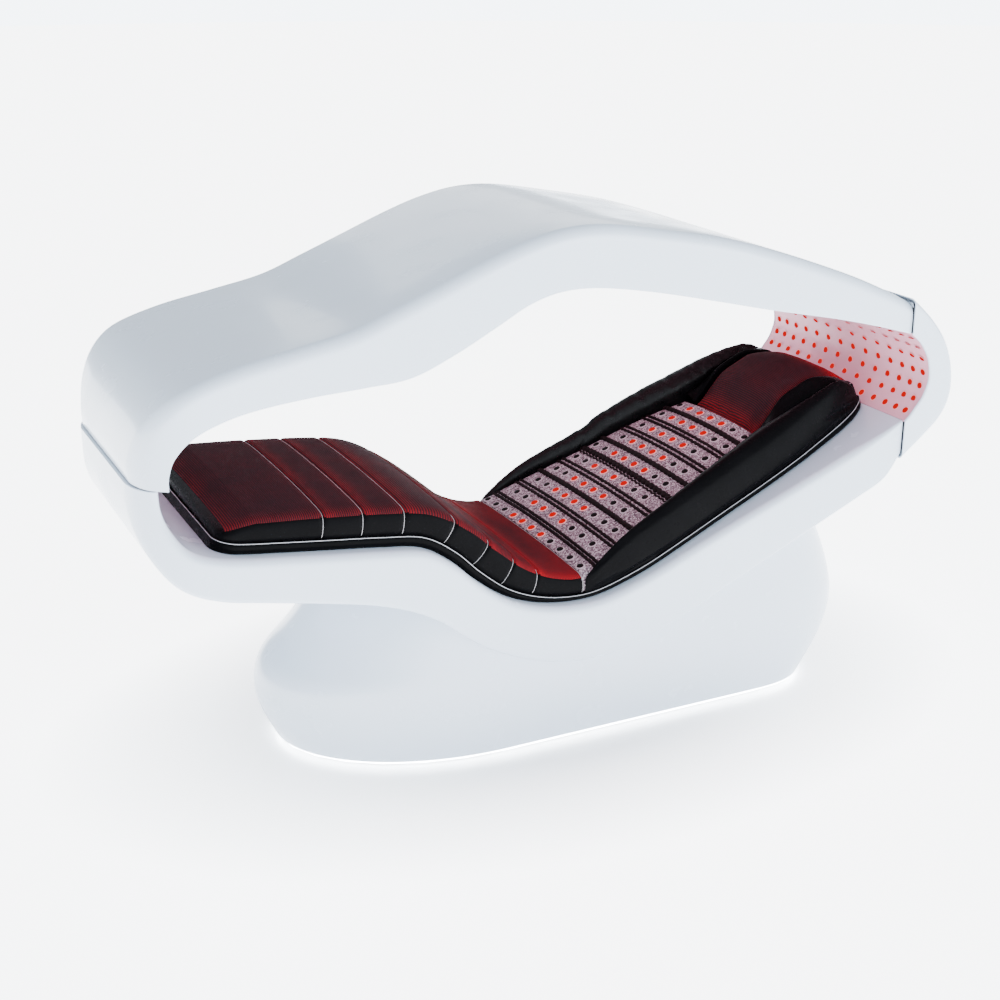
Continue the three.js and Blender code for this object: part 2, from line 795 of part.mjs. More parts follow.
function headFrame() {
  const high = (thick) => thick - shellWall - framePlateInset;
  const plates = [1, -1].map((side) => {
    const place = mirrored(side, hingePlateInner, hingePlateOuter);
    const arc = stripBand(coarse(capStations), () => plateLow, high, ...place);
    const topLow = fromInner(capStations[1], plateLow);
    const topHigh = fromInner(capStations[1], plateLow + knuckleRadius * 2);
    const arm = plateAcross([
      [hingeX - knuckleRadius / 2, hingeZ - knuckleRadius], [topLow.x, topLow.y],
      [topHigh.x, topHigh.y], [hingeX + knuckleRadius, hingeZ],
    ], ...place);
    const ring = barAcross(hinge, knuckleRadius, ...place);
    const tail = stripBand(fromShare(tubStations, tubTailShare), tubRailLow, tubRailHigh, ...place);
    const lastTub = tubStations.at(-1);
    const joinHigh = fromInner(lastTub, tubRailLow(thicknessOf(lastTub)));
    const joinLow = fromInner(lastTub, tubRailHigh(thicknessOf(lastTub)));
    const reach = shutX + framePlateInset / 2;
    const joint = plateAcross([
      [joinHigh.x - framePlateInset, joinLow.y + framePlateInset], [reach, joinLow.y + framePlateInset],
      [reach, joinHigh.y], [joinHigh.x - framePlateInset, joinHigh.y],
    ], ...place);
    const [from, to] = [place[0] - cutOver, place[1] + cutOver];
    const bores = headBolts.map((point) => barAcross(point, frameBoltRadius + contactGap, from, to));
    bores.push(barAcross(hinge, bushRadius + contactGap, from, to));
    return bores.reduce((plate, bore) => plate.subtract(bore), unite([arc, arm, ring, tail, joint]));
  });
  const plateMiddle = hingePlateInner + hingePlate / 2;
  const ties = headTieShares.map((share) => {
    const point = middleOf(capStations, share, () => plateLow, high);
    return barAcross([point.x, point.y], crossBar / 2, -plateMiddle, plateMiddle);
  });
  const pins = [1, -1].map((side) => barAcross(actuatorLowerPin, actuatorPinRadius,
    ...mirrored(side, actuatorOffset - actuatorEyeWidth, plateMiddle)));
  return unite([...plates, ...ties, ...pins]);
}

function frameBolt(point, side) {
  const inner = hingePlateInner - contactGap - railWall - frameBoltHeadHeight;
  const outer = hingePlateOuter + contactGap;
  const shank = mirrored(side, inner, outer + frameBoltHeadHeight / 2);
  const head = mirrored(side, outer, outer + frameBoltHeadHeight);
  return barAcross(point, frameBoltRadius, ...shank, hexSides)
    .add(barAcross(point, frameBoltHead, ...head, hexSides));
}

// Tub: an S-shaped hollow shell, with a deck panel set into its top
const deckHalf = ringWidth / 2 - deckMargin;
const deckFootX = deckFootShare * couchLength;
const deckHeadX = deckHeadShare * couchLength;
const tubRailOuter = hingePlateInner - contactGap;

// The four uprights stand under two bearer plates, which join the tub's rails
const uprights = [uprightFootShare, uprightHeadShare].flatMap((share) => [1, -1].map((side) => ({
  x: share * couchLength,
  y: (side * uprightShare * pedestalWidth) / 2,
})));

// The hollow of the tub, open at the head; what lies in it keeps a gap to its walls
function tubHollow(gap) {
  const wall = shellWall + gap;
  return band(extended(tubStations, false, true), {
    low: () => wall,
    high: (thick) => thick - wall,
    lowRadius: tubRimRadius - wall,
    highRadius: tubKeelRadius - wall,
    arcSteps: hollowSteps,
    halfAt: (x) => ringHalf(x - wall) - wall,
  }).subtract(above(tubTop - wall));
}

function tubShell() {
  const outer = band(extended(tubStations, true, false), {
    low: () => 0,
    high: (thick) => thick,
    lowRadius: tubRimRadius,
    highRadius: tubKeelRadius,
    halfAt: ringHalf,
  });
  const opening = band(tubStations, {
    low: () => -cutOver,
    high: () => deckWall * 2,
    halfAt: () => deckHalf,
  }).subtract(footOf(deckFootX)).subtract(headOf(deckHeadX));
  const cuts = uprights.map(({ x, y }) => boxBetween(
    [x - uprightLength / 2 - looseGap, y - uprightWidth / 2 - looseGap, 0],
    [x + uprightLength / 2 + looseGap, y + uprightWidth / 2 + looseGap, deckLevelAt(x).z - deckWall * 2]));
  return [above(tubTop), tubHollow(0), opening, headOf(shutX), ...cuts]
    .reduce((shell, cut) => shell.subtract(cut), outer);
}

function deckPanel() {
  return band(tubStations, {
    low: () => 0,
    high: () => deckWall,
    halfAt: () => deckHalf - contactGap,
  }).subtract(footOf(deckFootX + contactGap)).subtract(headOf(deckHeadX - contactGap));
}

// Steel inside the tub: two rails with cross bars
function tubFrame() {
  const stations = coarse(fromShare(tubStations, tubRailFootShare));
  const room = tubHollow(contactGap).subtract(headOf(shutX - framePlateInset));
  const rails = [1, -1].map((side) => channelRail(stations, tubRailLow, tubRailHigh, tubRailOuter, side)
    .intersect(room));
  const reach = tubRailOuter - railWall / 2;
  const bars = tubCrossShares.map((share) => {
    const point = middleOf(tubStations, share, tubRailLow, tubRailHigh);
    return boxAt([point.x, 0, point.y], [crossBar, 2 * reach, crossBar]);
  });
  const bearerLow = (thick) => tubRailHigh(thick) - bearerSheet;
  const plate = stripBand(tubStations, bearerLow, tubRailHigh, -reach, reach);
  const bearers = uprights.filter(({ y }) => y > 0).map(({ x }) => plate.intersect(boxBetween(
    [x - uprightLength / 2, -reach, 0], [x + uprightLength / 2, reach, couchHeight])));
  const far = hingePlateOuter + cutOver;
  const bores = headBolts.map((point) => barAcross(point, frameBoltRadius + contactGap, -far, far));
  return bores.reduce((frame, bore) => frame.subtract(bore), unite([...rails, ...bars, ...bearers]));
}

// Rubber pads on the tub's foot wall, on which the canopy's nose rests
function nosePad(side) {
  const [a, b] = [tubStations[0], canopyStations[0]];
  const x = (Math.max(a.outer.x, b.outer.x) + Math.min(a.inner.x, b.inner.x)) / 2;
  const low = tubTop + contactGap;
  return barUp([x, side * nosePadShare * ringWidth], nosePadRadius, low, low + nosePadHeight);
}

// Pedestal: rounded levels, cut off along the tub's keel
const pedestalHalf = pedestalWidth / 2;
function pedestalLevel([zShare, footShare, headShare, halfShare]) {
  return {
    z: zShare * couchHeight,
    foot: footShare * couchLength,
    head: headShare * couchLength,
    half: halfShare * pedestalHalf,
  };
}

function pedestalRing(level, inset) {
  const footRound = pedestalFootRoundShare * couchLength;
  const headRound = pedestalHeadRoundShare * couchLength;
  const half = level.half - inset;
  const quarter = (centre, reach, power, k) => {
    const angle = (k / pedestalEndSteps) * (Math.PI / 2);
    return [centre + reach * Math.sin(angle) ** (2 / power), half * Math.cos(angle) ** (2 / power)];
  };
  const rightSide = [];
  for (let k = pedestalEndSteps; k >= 0; k -= 1) {
    rightSide.push(quarter(footRound, level.foot + inset - footRound, 2, k));
  }
  for (let k = 0; k <= pedestalEndSteps; k += 1) {
    rightSide.push(quarter(headRound, level.head - inset - headRound, pedestalHeadPower, k));
  }
  const leftSide = rightSide.slice(1, -1).reverse().map(([x, y]) => [x, -y]);
  return [...rightSide, ...leftSide].map(([x, y]) => [x, y, level.z]);
}

const pedestalLevels = pedestalShares.map(pedestalLevel);
function pedestalLevelAt(z) {
  const index = Math.max(1, pedestalLevels.findIndex((level) => level.z >= z));
  const [a, b] = [pedestalLevels[index - 1], pedestalLevels[index]];
  const share = (z - a.z) / (b.z - a.z);
  const mix = (key) => a[key] + (b[key] - a[key]) * share;
  return { z, foot: mix('foot'), head: mix('head'), half: mix('half') };
}

// Half width of the pedestal at a place and height, on its outer side
function pedestalHalfAt(x, z) {
  const level = pedestalLevelAt(z);
  const footRound = pedestalFootRoundShare * couchLength;
  if (x >= footRound) {
    return level.half;
  }
  return level.half * Math.sqrt(Math.max(1 - ((x - footRound) / (level.foot - footRound)) ** 2, 0));
}

// Openings in the back wall for the grilles and the inlet plate
const ventLevel = ventLevelShare * couchHeight;
const vents = ventCentreShares.map((share) => share * couchLength);
const inletX = inletShare * couchLength;
const backWall = pedestalHalfAt(0, ventLevel);

function pedestalHollow(gap) {
  const [first, last] = [pedestalLevels[0], pedestalLevels.at(-1)];
  const levels = [{ ...first, z: first.z - cutOver }, ...pedestalLevels, { ...last, z: last.z + cutOver }];
  return loft(levels.map((level) => pedestalRing(level, shellWall + gap)));
}

function pedestalShell() {
  const outer = loft(pedestalLevels.map((level) => pedestalRing(level, 0)));
  const hollow = pedestalHollow(0);
  const keel = fromShare(tubStations, tubWallShare)
    .map((station) => fromInner(station, thicknessOf(station) + contactGap));
  const roof = roofOver(keel.map((point) => [point.x, point.y]), -ringWidth, ringWidth);
  const back = backWall - cutOver;
  const ventCuts = vents.map((x) => boxBetween([x - ventWidth / 2, back, ventLevel - ventHeight / 2],
    [x + ventWidth / 2, back + 2 * cutOver, ventLevel + ventHeight / 2]));
  const inletCut = boxBetween([inletX - inletPlate[0] / 2, back, inletLevel - inletPlate[1] / 2],
    [inletX + inletPlate[0] / 2, back + 2 * cutOver, inletLevel + inletPlate[1] / 2]);
  return [hollow, roof, ...ventCuts, inletCut].reduce((shell, cut) => shell.subtract(cut), outer);
}

function ventGrille(x) {
  const gap = contactGap;
  const top = backWall - contactGap;
  const low = [x - ventWidth / 2 + gap, top - ventSheet, ventLevel - ventHeight / 2 + gap];
  const high = [x + ventWidth / 2 - gap, top, ventLevel + ventHeight / 2 - gap];
  const pitch = ventHeight / (ventSlots + 1);
  const slots = Array.from({ length: ventSlots }, (_, k) => boxAt(
    [x, top, ventLevel - ventHeight / 2 + pitch * (k + 1)], [ventWidth - pitch * 2, cutOver, pitch / 2]));
  return slots.reduce((plate, slot) => plate.subtract(slot), boxBetween(low, high));
}

// Cooling fans behind the grilles: a square housing with a hub on spokes, and a rotor on its shaft
const fanWallHalf = Math.min(...[-1, 1].map((side) => pedestalHalfAt(0, ventLevel + side * fanSize / 2)));
const fanFace = Math.min(backWall - contactGap - ventSheet, fanWallHalf - shellWall) - contactGap;
const fanBore = fanSize / 2 - fanWall;
const fanBackY = fanFace - fanDepth;
const fanHubSheet = fanDepth / 5;
function fanHousing(x) {
  const centre = [x, ventLevel];
  const frame = boxBetween([x - fanSize / 2, fanBackY, ventLevel - fanSize / 2],
    [x + fanSize / 2, fanFace, ventLevel + fanSize / 2]);
  const bore = barAcross(centre, fanBore, fanBackY - cutOver, fanFace + cutOver, roundSides * 2);
  const hub = barAcross(centre, fanHubRadius, fanBackY, fanBackY + fanHubSheet);
  const spokes = boxBetween([x - fanSize / 2 + fanWall / 2, fanBackY, ventLevel - fanWall],
    [x + fanSize / 2 - fanWall / 2, fanBackY + fanHubSheet, ventLevel + fanWall]);
  const post = boxBetween([x - fanWall, fanBackY, ventLevel - fanSize / 2 + fanWall / 2],
    [x + fanWall, fanBackY + fanHubSheet, ventLevel + fanSize / 2 - fanWall / 2]);
  const shaft = barAcross(centre, fanShaftRadius, fanBackY, fanFace - fanHubSheet);
  return unite([frame.subtract(bore), hub, spokes, post, shaft]);
}

function fanRotor(x) {
  const centre = [x, ventLevel];
  const low = fanBackY + fanHubSheet + contactGap;
  const high = fanFace - runningGap;
  const hub = barAcross(centre, fanHubRadius, low, high);
  const bladeLength = fanBore - runningGap * 2;
  const blades = Array.from({ length: fanBlades }, (_, k) => {
    const geometry = new THREE.BoxGeometry(bladeLength, (high - low) * fanBladeDepthShare, fanBladeSheet);
    geometry.rotateX(fanBladeTilt);
    geometry.translate(bladeLength / 2, 0, 0);
    geometry.rotateY((k / fanBlades) * Math.PI * 2);
    geometry.translate(x, (low + high) / 2, ventLevel);
    return toSolid(geometry);
  });
  const bore = barAcross(centre, fanShaftRadius + contactGap, low - cutOver, high + cutOver);
  const envelope = barAcross(centre, bladeLength, low, high, roundSides * 2);
  return unite([hub, ...blades]).intersect(envelope).subtract(bore);
}

// Mains inlet plate with its socket and switch
const inletTop = backWall - contactGap;
const inletSocketX = inletX - inletPlate[0] / 4;
const rockerX = inletX + inletPlate[0] / 4;
function inletPanel() {
  const [halfWidth, halfHeight] = inletPlate.map((size) => size / 2 - contactGap);
  const low = [inletX - halfWidth, inletTop - inletPlate[2], inletLevel - halfHeight];
  const high = [inletX + halfWidth, inletTop, inletLevel + halfHeight];
  const socketCut = boxAt([inletSocketX, inletTop, inletLevel],
    [inletBody[0] + 2 * contactGap, cutOver * 2, inletBody[1] + 2 * contactGap]);
  const rockerCut = boxAt([rockerX, inletTop, inletLevel],
    [rockerBody[0] + 2 * contactGap, cutOver * 2, rockerBody[1] + 2 * contactGap]);
  return boxBetween(low, high).subtract(socketCut).subtract(rockerCut);
}

function mainsInlet() {
  const wall = inletPin;
  const [width, height, depth] = inletBody;
  const body = boxBetween([inletSocketX - width / 2, inletTop - depth, inletLevel - height / 2],
    [inletSocketX + width / 2, inletTop, inletLevel + height / 2]);
  const [halfWide, halfHigh] = [width / 2 - wall, height / 2 - wall];
  const floor = inletTop - depth * inletRecessShare;
  const recess = boxBetween([inletSocketX - halfWide, floor, inletLevel - halfHigh],
    [inletSocketX + halfWide, inletTop + cutOver, inletLevel + halfHigh]);
  const [tip, root] = inletPinReachShares.map((share) => inletTop - depth * share);
  const pins = inletPinPlaceShares.map(([across, up]) => {
    const [x, z] = [inletSocketX + across * wall * 2, inletLevel + up * wall * 2];
    return boxBetween([x - wall / 3, root, z - wall / 2], [x + wall / 3, tip, z + wall / 2]);
  });
  return unite([body.subtract(recess), ...pins]);
}

// The rocker turns about a pin along X, across the switch
const rockerWall = 2;
const rockerPivotY = inletTop - rockerBody[2] / 3;
function switchBody() {
  const [width, height, depth] = rockerBody;
  const body = boxBetween([rockerX - width / 2, inletTop - depth, inletLevel - height / 2],
    [rockerX + width / 2, inletTop, inletLevel + height / 2]);
  const [halfWide, halfHigh] = [width / 2 - rockerWall, height / 2 - rockerWall];
  const well = boxBetween([rockerX - halfWide, inletTop - depth + rockerWall, inletLevel - halfHigh],
    [rockerX + halfWide, inletTop + cutOver, inletLevel + halfHigh]);
  return body.subtract(well).add(rockerBar(rockerPivotRadius, width - rockerWall));
}

function rockerBar(radius, length) {
  const geometry = new THREE.CylinderGeometry(radius, radius, length, hexSides);
  geometry.rotateZ(Math.PI / 2);
  geometry.translate(rockerX, rockerPivotY, inletLevel);
  return toSolid(geometry);
}

function rockerKey() {
  const [width, height, depth] = rockerBody;
  const keyHeight = height - 2 * rockerWall - 4 * runningGap;
  const keyDepth = depth / 2;
  const geometry = new THREE.BoxGeometry(width - 2 * rockerWall - 2 * contactGap, keyDepth, keyHeight);
  geometry.rotateX(rockerTilt);
  geometry.translate(rockerX, rockerPivotY, inletLevel);
  return toSolid(geometry).subtract(rockerBar(rockerPivotRadius + contactGap, width * 2));
}

// Ground frame: a ladder of square tube with uprights to the tub's rails
const ladderLift = pedestalLevels[0].z + ladderRise;
const ladderTop = ladderLift + ladderTube;
const ladderXs = [ladderFootShare, uprightFootShare, uprightHeadShare, ladderHeadShare]
  .map((share) => share * couchLength);
const ladderOffset = pedestalHalf - ladderInset;
const feet = [ladderXs[0], ladderXs[3]].flatMap((x) => [1, -1].map((side) => [x, side * ladderOffset]));

function groundFrame() {
  const half = ladderTube / 2;
  const sides = [1, -1].map((side) => boxBetween([ladderXs[0] - half, side * ladderOffset - half, ladderLift],
    [ladderXs[3] + half, side * ladderOffset + half, ladderTop]));
  const hollow = pedestalHollow(contactGap);
  const rungs = ladderXs.map((x) => boxBetween([x - half, -pedestalHalf, ladderLift],
    [x + half, pedestalHalf, ladderTop]).intersect(hollow));
  const [halfLong, halfWide] = [uprightLength / 2, uprightWidth / 2];
  const posts = uprights.map(({ x, y }) => boxBetween([x - halfLong, y - halfWide, ladderTop - half],
    [x + halfLong, y + halfWide, deckLevelAt(x).z]));
  const seat = fromShare(tubStations, tubWallShare)
    .map((station) => fromInner(station, tubRailHigh(thicknessOf(station)) + contactGap));
  const roof = roofOver(seat.map((point) => [point.x, point.y]), -ringWidth, ringWidth);
  const holeTop = ladderLift + footStemLength + runningGap;
  const holes = feet.map((place) => barUp(place, footStemRadius + contactGap, 0, holeTop));
  return [roof, ...holes].reduce((frame, cut) => frame.subtract(cut), unite([...sides, ...rungs, ...posts]));
}

function levellingFoot(place) {
  const collar = ladderLift - contactGap;
  return unite([
    barUp(place, footPadRadius, 0, footPadHeight),
    barUp(place, footCollarRadius, footPadHeight / 2, collar, hexSides),
    barUp(place, footStemRadius, footPadHeight / 2, ladderLift + footStemLength),
  ]);
}

// Equipment tray with the lamp drivers and the control unit
const trayX = (ladderXs[1] + ladderXs[2]) / 2;
const trayLength = ladderXs[2] - ladderXs[1] - uprightLength - 2 * trayEndGap;
const trayLow = ladderTop + contactGap;
const trayTop = trayLow + traySheet;
function equipmentTray() {
  const half = ladderOffset + trayOverhang;
  return boxBetween([trayX - trayLength / 2, -half, trayLow], [trayX + trayLength / 2, half, trayTop]);
}

function lampDriver(index) {
  const [length, width, height] = driverSize;
  const across = (index - (driverCount - 1) / 2) * driverPitch;
  const x = trayX - trayLength / 2 + trayMargin + length / 2;
  const centre = [x, across, trayTop + contactGap + height / 2];
  const finSize = [length - width, driverFin, height / 4];
  const fins = driverFinShares.map((share) => boxAt(
    [centre[0], across + share * width, centre[2] + height / 2], finSize));
  return unite([boxAt(centre, driverSize), ...fins]);
}

function controlUnit() {
  const [length, , height] = controlSize;
  const x = trayX + trayLength / 2 - trayMargin - length / 2;
  return boxAt([x, 0, trayTop + contactGap + height / 2], controlSize);
}

// Light strip that follows the pedestal's lower edge, inside the shell
function glowStrip() {
  const level = pedestalLevels[0];
  const ring = (inset, z) => pedestalRing({ ...level, z }, inset);
  const near = shellWall + contactGap * 2;
  const top = level.z;
  const low = top - stripHeight;
  return loft([ring(near, low), ring(near, top)])
    .subtract(loft([ring(near + stripWidth, low - cutOver), ring(near + stripWidth, top + cutOver)]));
}

// Deck surface: the place and the upward direction at a distance along the couch
function deckLevelAt(x) {
  const line = fromShare(tubStations, tubWallShare).map((station) => station.inner);
  const heightAt = (place) => {
    const next = line.findIndex((point) => point.x > place);
    const index = next < 0 ? line.length - 1 : Math.max(1, next);
    const [a, b] = [line[index - 1], line[index]];
    return a.y + ((place - a.x) / (b.x - a.x)) * (b.y - a.y);
  };
  const reach = padHeight / 4;
  const slope = (heightAt(x + reach) - heightAt(x - reach)) / (2 * reach);
  const length = Math.hypot(1, slope);
  return { x, z: heightAt(x), up: [-slope / length, 1 / length] };
}

// A value along the couch, from rows of a share of the length and the value there
function valueAt(rows, x) {
  const share = Math.min(Math.max(x / couchLength, rows[0][0]), rows.at(-1)[0]);
  const index = Math.max(1, rows.findIndex(([place]) => place >= share));
  const [a, b] = [rows[index - 1], rows[index]];
  return a[1] + ((share - a[0]) / (b[0] - a[0])) * (b[1] - a[1]);
}

// Half width of the mattress in plan
const mattressFootX = mattressFootShare * couchLength;
const mattressHeadX = mattressHalfShares.at(-1)[0] * couchLength;
const mattressSeamX = mattressSeamShare * couchLength;
const matHeadX = matHeadShare * couchLength;
const matHeadHalf = (mattressWidth * matHeadWidthShare) / 2;
function mattressHalf(x) {
  const half = mattressWidth / 2;
  const footRun = (mattressFootX + mattressFootCorner - x) / mattressFootCorner;
  if (footRun > 0) {
    return half - mattressFootCorner * (1 - Math.sqrt(Math.max(1 - footRun ** 2, 0)));
  }
  return half * valueAt(mattressHalfShares, x);
}

// Height of the lower band and of the cushions above the deck
const bandAt = (x) => bandHeight * valueAt(bandShares, x);
const cushionLowAt = (x) => bandAt(x) - padSideBulge;
const padHeightAt = (x) => padHeight * valueAt(padHeightShares, x);

// Places a point of a cushion: height above the deck and offset across
function onDeck(x, height, across) {
  const deck = deckLevelAt(x);
  return [deck.x + deck.up[0] * height, across, deck.z + deck.up[1] * height];
}

function spread(from, to, count) {
  return Array.from({ length: count + 1 }, (_, k) => from + ((to - from) * k) / count);
}

// Places along the mattress base, closer together at its rounded ends
const footEndShares = [0, 0.1, 0.35, 0.7];
const headEndPlaces = mattressHalfShares.map(([share]) => share * couchLength);
const basePlaces = [
  ...footEndShares.map((share) => mattressFootX + share * mattressFootCorner),
  ...spread(mattressFootX + mattressFootCorner, headEndPlaces[0], baseSteps),
  ...headEndPlaces.slice(1),
];

// Everything under the band's top and a clearance, for trimming the cushions that rest on it
function underCushions() {
  const ends = [mattressFootX - cutOver, mattressHeadX + cutOver];
  const line = [ends[0], ...basePlaces, ends[1]].map((x) => {
    const [px, , pz] = onDeck(x, bandAt(x) + contactGap, 0);
    return [px, pz];
  });
  return plateAcross([...line, [ends[1], 0], [ends[0], 0]], -ringWidth, ringWidth);
}

// The black base of the mattress, edged by the piping line
function mattressBase() {
  const deck = stripBand(tubStations, () => -contactGap, () => cutOver, -ringWidth, ringWidth);
  return loft(basePlaces.map((x) => {
    const [half, top] = [mattressHalf(x), bandAt(x)];
    return [[-half + padSideBulge, -softGap], [half - padSideBulge, -softGap], [half, top / 2],
      [half, top], [-half, top], [-half, top / 2]]
      .map(([across, height]) => onDeck(x, height, across));
  })).subtract(deck);
}

// Crowned cushion section, alike on both sides, from its lower edge to the middle of its top
const cushionFloor = underCushions();
function cushionRing(x, half, height, crown) {
  const low = cushionLowAt(x);
  const shoulder = (height - low) / 3;
  const side = [
    [half - padSideBulge, low],
    [half, low + shoulder],
    [half - padSideBulge, height - shoulder * 0.6],
    [half - padSideBulge * 5, height],
    [half / 2, height + crown * 0.75],
  ];
  const right = side.map(([across, level]) => onDeck(x, level, across));
  const left = side.map(([across, level]) => onDeck(x, level, -across)).reverse();
  return [...right, onDeck(x, height + crown, 0), ...left];
}

// The pad under the legs: full height between its sewn channels, drawn in at both ends
function legPad() {
  const start = mattressFootX + padSideBulge;
  const end = mattressSeamX - softGap;
  const rows = padFootShares.map(([run, share]) => ({ x: start + run * channelHalf, share, dip: 0 }));
  const swellTo = (x) => rows.push(
    { x: (rows.at(-1).x + x) / 2, share: padSwellShare, dip: 0 },
    { x, share: 1, dip: 0 },
  );
  channelShares.map((share) => share * couchLength).forEach((x) => {
    swellTo(x - channelHalf);
    rows.push({ x, share: 1, dip: channelDepth }, { x: x + channelHalf, share: 1, dip: 0 });
  });
  swellTo(end - channelHalf);
  rows.push({ x: end, share: padEndShare, dip: 0 });
  return loft(rows.map(({ x, share, dip }) => {
    const height = padHeightAt(x) * share - dip;
    return cushionRing(x, mattressHalf(x) - dip, height, padCrown);
  })).subtract(cushionFloor);
}

// Half width of the lamp mat between the bolsters, and of the pillow with its wings
function seamHalf(x) {
  const run = Math.min(Math.max((x - mattressSeamX) / (matHeadX - mattressSeamX), 0), 1);
  const footHalf = mattressWidth / 2 - bolsterEndWidth;
  const line = footHalf + (matHeadHalf - footHalf) * run ** matTaperPower;
  return Math.min(line, mattressHalf(x) - bolsterEndWidth);
}

function lampMat() {
  const places = spread(mattressSeamX + softGap, matHeadX - softGap, matSteps);
  return loft(places.map((x) => cushionRing(x, seamHalf(x) - softGap, padHeightAt(x), matCrown)))
    .subtract(cushionFloor);
}

// Leather arm rests on both sides of the lamp mat and the pillow
const wingPlaces = spread(wingFootShare * couchLength, bolsterHeadShare * couchLength, wingSteps);
const bolsterPlaces = [...spread(bolsterFootShare * couchLength, wingPlaces[0], bolsterSteps),
  ...wingPlaces.slice(1)];
function bolster(side) {
  return loft(bolsterPlaces.map((x) => {
    const [near, far, low] = [seamHalf(x) + softGap, mattressHalf(x), cushionLowAt(x)];
    const lift = side > 0 ? valueAt(farLiftShares, x) : 0;
    const rise = padHeight * (valueAt(bolsterHeightShares, x) + lift) - low;
    return bolsterRowShares
      .map(([across, up]) => onDeck(x, low + rise * up, side * (near + (far - near) * across)));
  })).subtract(cushionFloor);
}

const pillowHalf = (mattressWidth * pillowWidthShare) / 2;
const pillowEdgeAt = (x) => padHeight * valueAt(pillowHeightShares, x);
function pillow() {
  const places = spread(matHeadX + softGap, pillowHeadShare * couchLength, pillowSteps);
  return loft(places.map((x) => cushionRing(x, pillowHalf, pillowEdgeAt(x), pillowCrown)))
    .subtract(cushionFloor);
}

// Leather wings that slope from the pillow's edge to the seam with the arm rests
function pillowWing(side) {
  return loft(wingPlaces.map((x) => {
    const [near, far, low] = [pillowHalf + softGap, seamHalf(x) - softGap, cushionLowAt(x)];
    const [top, seam] = [pillowEdgeAt(x), padHeight * valueAt(wingSeamShares, x)];
    const rows = spread(0, 1, wingRows).map((across) => [
      near + (far - near) * across, top + (seam - top) * across + wingBulge * Math.sin(Math.PI * across)]);
    return [[near, low], ...rows, [far, low]].map(([across, level]) => onDeck(x, level, side * across));
  })).subtract(cushionFloor);
}

// The couch, piece by piece
const sides = [[1, 'far'], [-1, 'near']];
addNode('canopy_shell', 'shell', canopyShell());
addNode('canopy_liner', 'liner', canopyLiner());
canopyBoardShares.forEach((shares, index) => {
  addNode(`canopy_lamp_board_${index + 1}`, 'board', canopyBoard(shares));
});
addNode('canopy_frame', 'steel', canopyFrame());
addNode('hinge_shaft', 'darkSteel', hingeShaft());
addNode('head_cap_shell', 'shell', headCapShell());
addNode('head_lamp_panel', 'liner', headLampPanel());
addNode('head_lamp_board', 'board', headLampBoard());
addNode('head_frame', 'steel', headFrame());
addNode('tub_shell', 'shell', tubShell());
addNode('deck_panel', 'shell', deckPanel());
addNode('tub_frame', 'steel', tubFrame());
addNode('pedestal_shell', 'shell', pedestalShell());
addNode('ground_frame', 'steel', groundFrame());
addNode('glow_strip', 'light', glowStrip());
addNode('equipment_tray', 'casing', equipmentTray());
addNode('control_unit', 'plastic', controlUnit());
for (let index = 0; index < driverCount; index += 1) {
  addNode(`lamp_driver_${index + 1}`, 'casing', lampDriver(index));
}
vents.forEach((x, index) => {
  addNode(`vent_grille_${index + 1}`, 'shell', ventGrille(x));
  addNode(`fan_housing_${index + 1}`, 'plastic', fanHousing(x));
  addNode(`fan_rotor_${index + 1}`, 'plastic', fanRotor(x));
});
addNode('inlet_panel', 'shell', inletPanel());
addNode('mains_inlet', 'plastic', mainsInlet());
addNode('switch_body', 'plastic', switchBody());
addNode('rocker_key', 'plastic', rockerKey());
feet.forEach((place, index) => addNode(`levelling_foot_${index + 1}`, 'rubber', levellingFoot(place)));
sides.forEach(([side, label]) => {
  addNode(`hinge_bush_${label}`, 'darkSteel', hingeBush(side));
  addNode(`actuator_tube_${label}`, 'casing', actuatorTube(side));
  addNode(`actuator_rod_${label}`, 'darkSteel', actuatorRod(side));
  headBolts.forEach((point, index) => {
    addNode(`frame_bolt_${label}_${index + 1}`, 'darkSteel', frameBolt(point, side));
  });
  addNode(`nose_pad_${label}`, 'rubber', nosePad(side));
  addNode(`bolster_${label}`, 'leather', bolster(side));
  addNode(`pillow_wing_${label}`, 'leather', pillowWing(side));
});
addNode('mattress_base', 'leather', mattressBase());
addNode('leg_pad', 'mesh', legPad());
addNode('lamp_mat', 'knit', lampMat());
addNode('pillow', 'mesh', pillow());

export default couch;
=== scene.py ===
# Red light therapy couch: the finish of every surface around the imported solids. Metres.
# +X runs from the foot to the head, +Y away from the camera, +Z up.
import json
import math

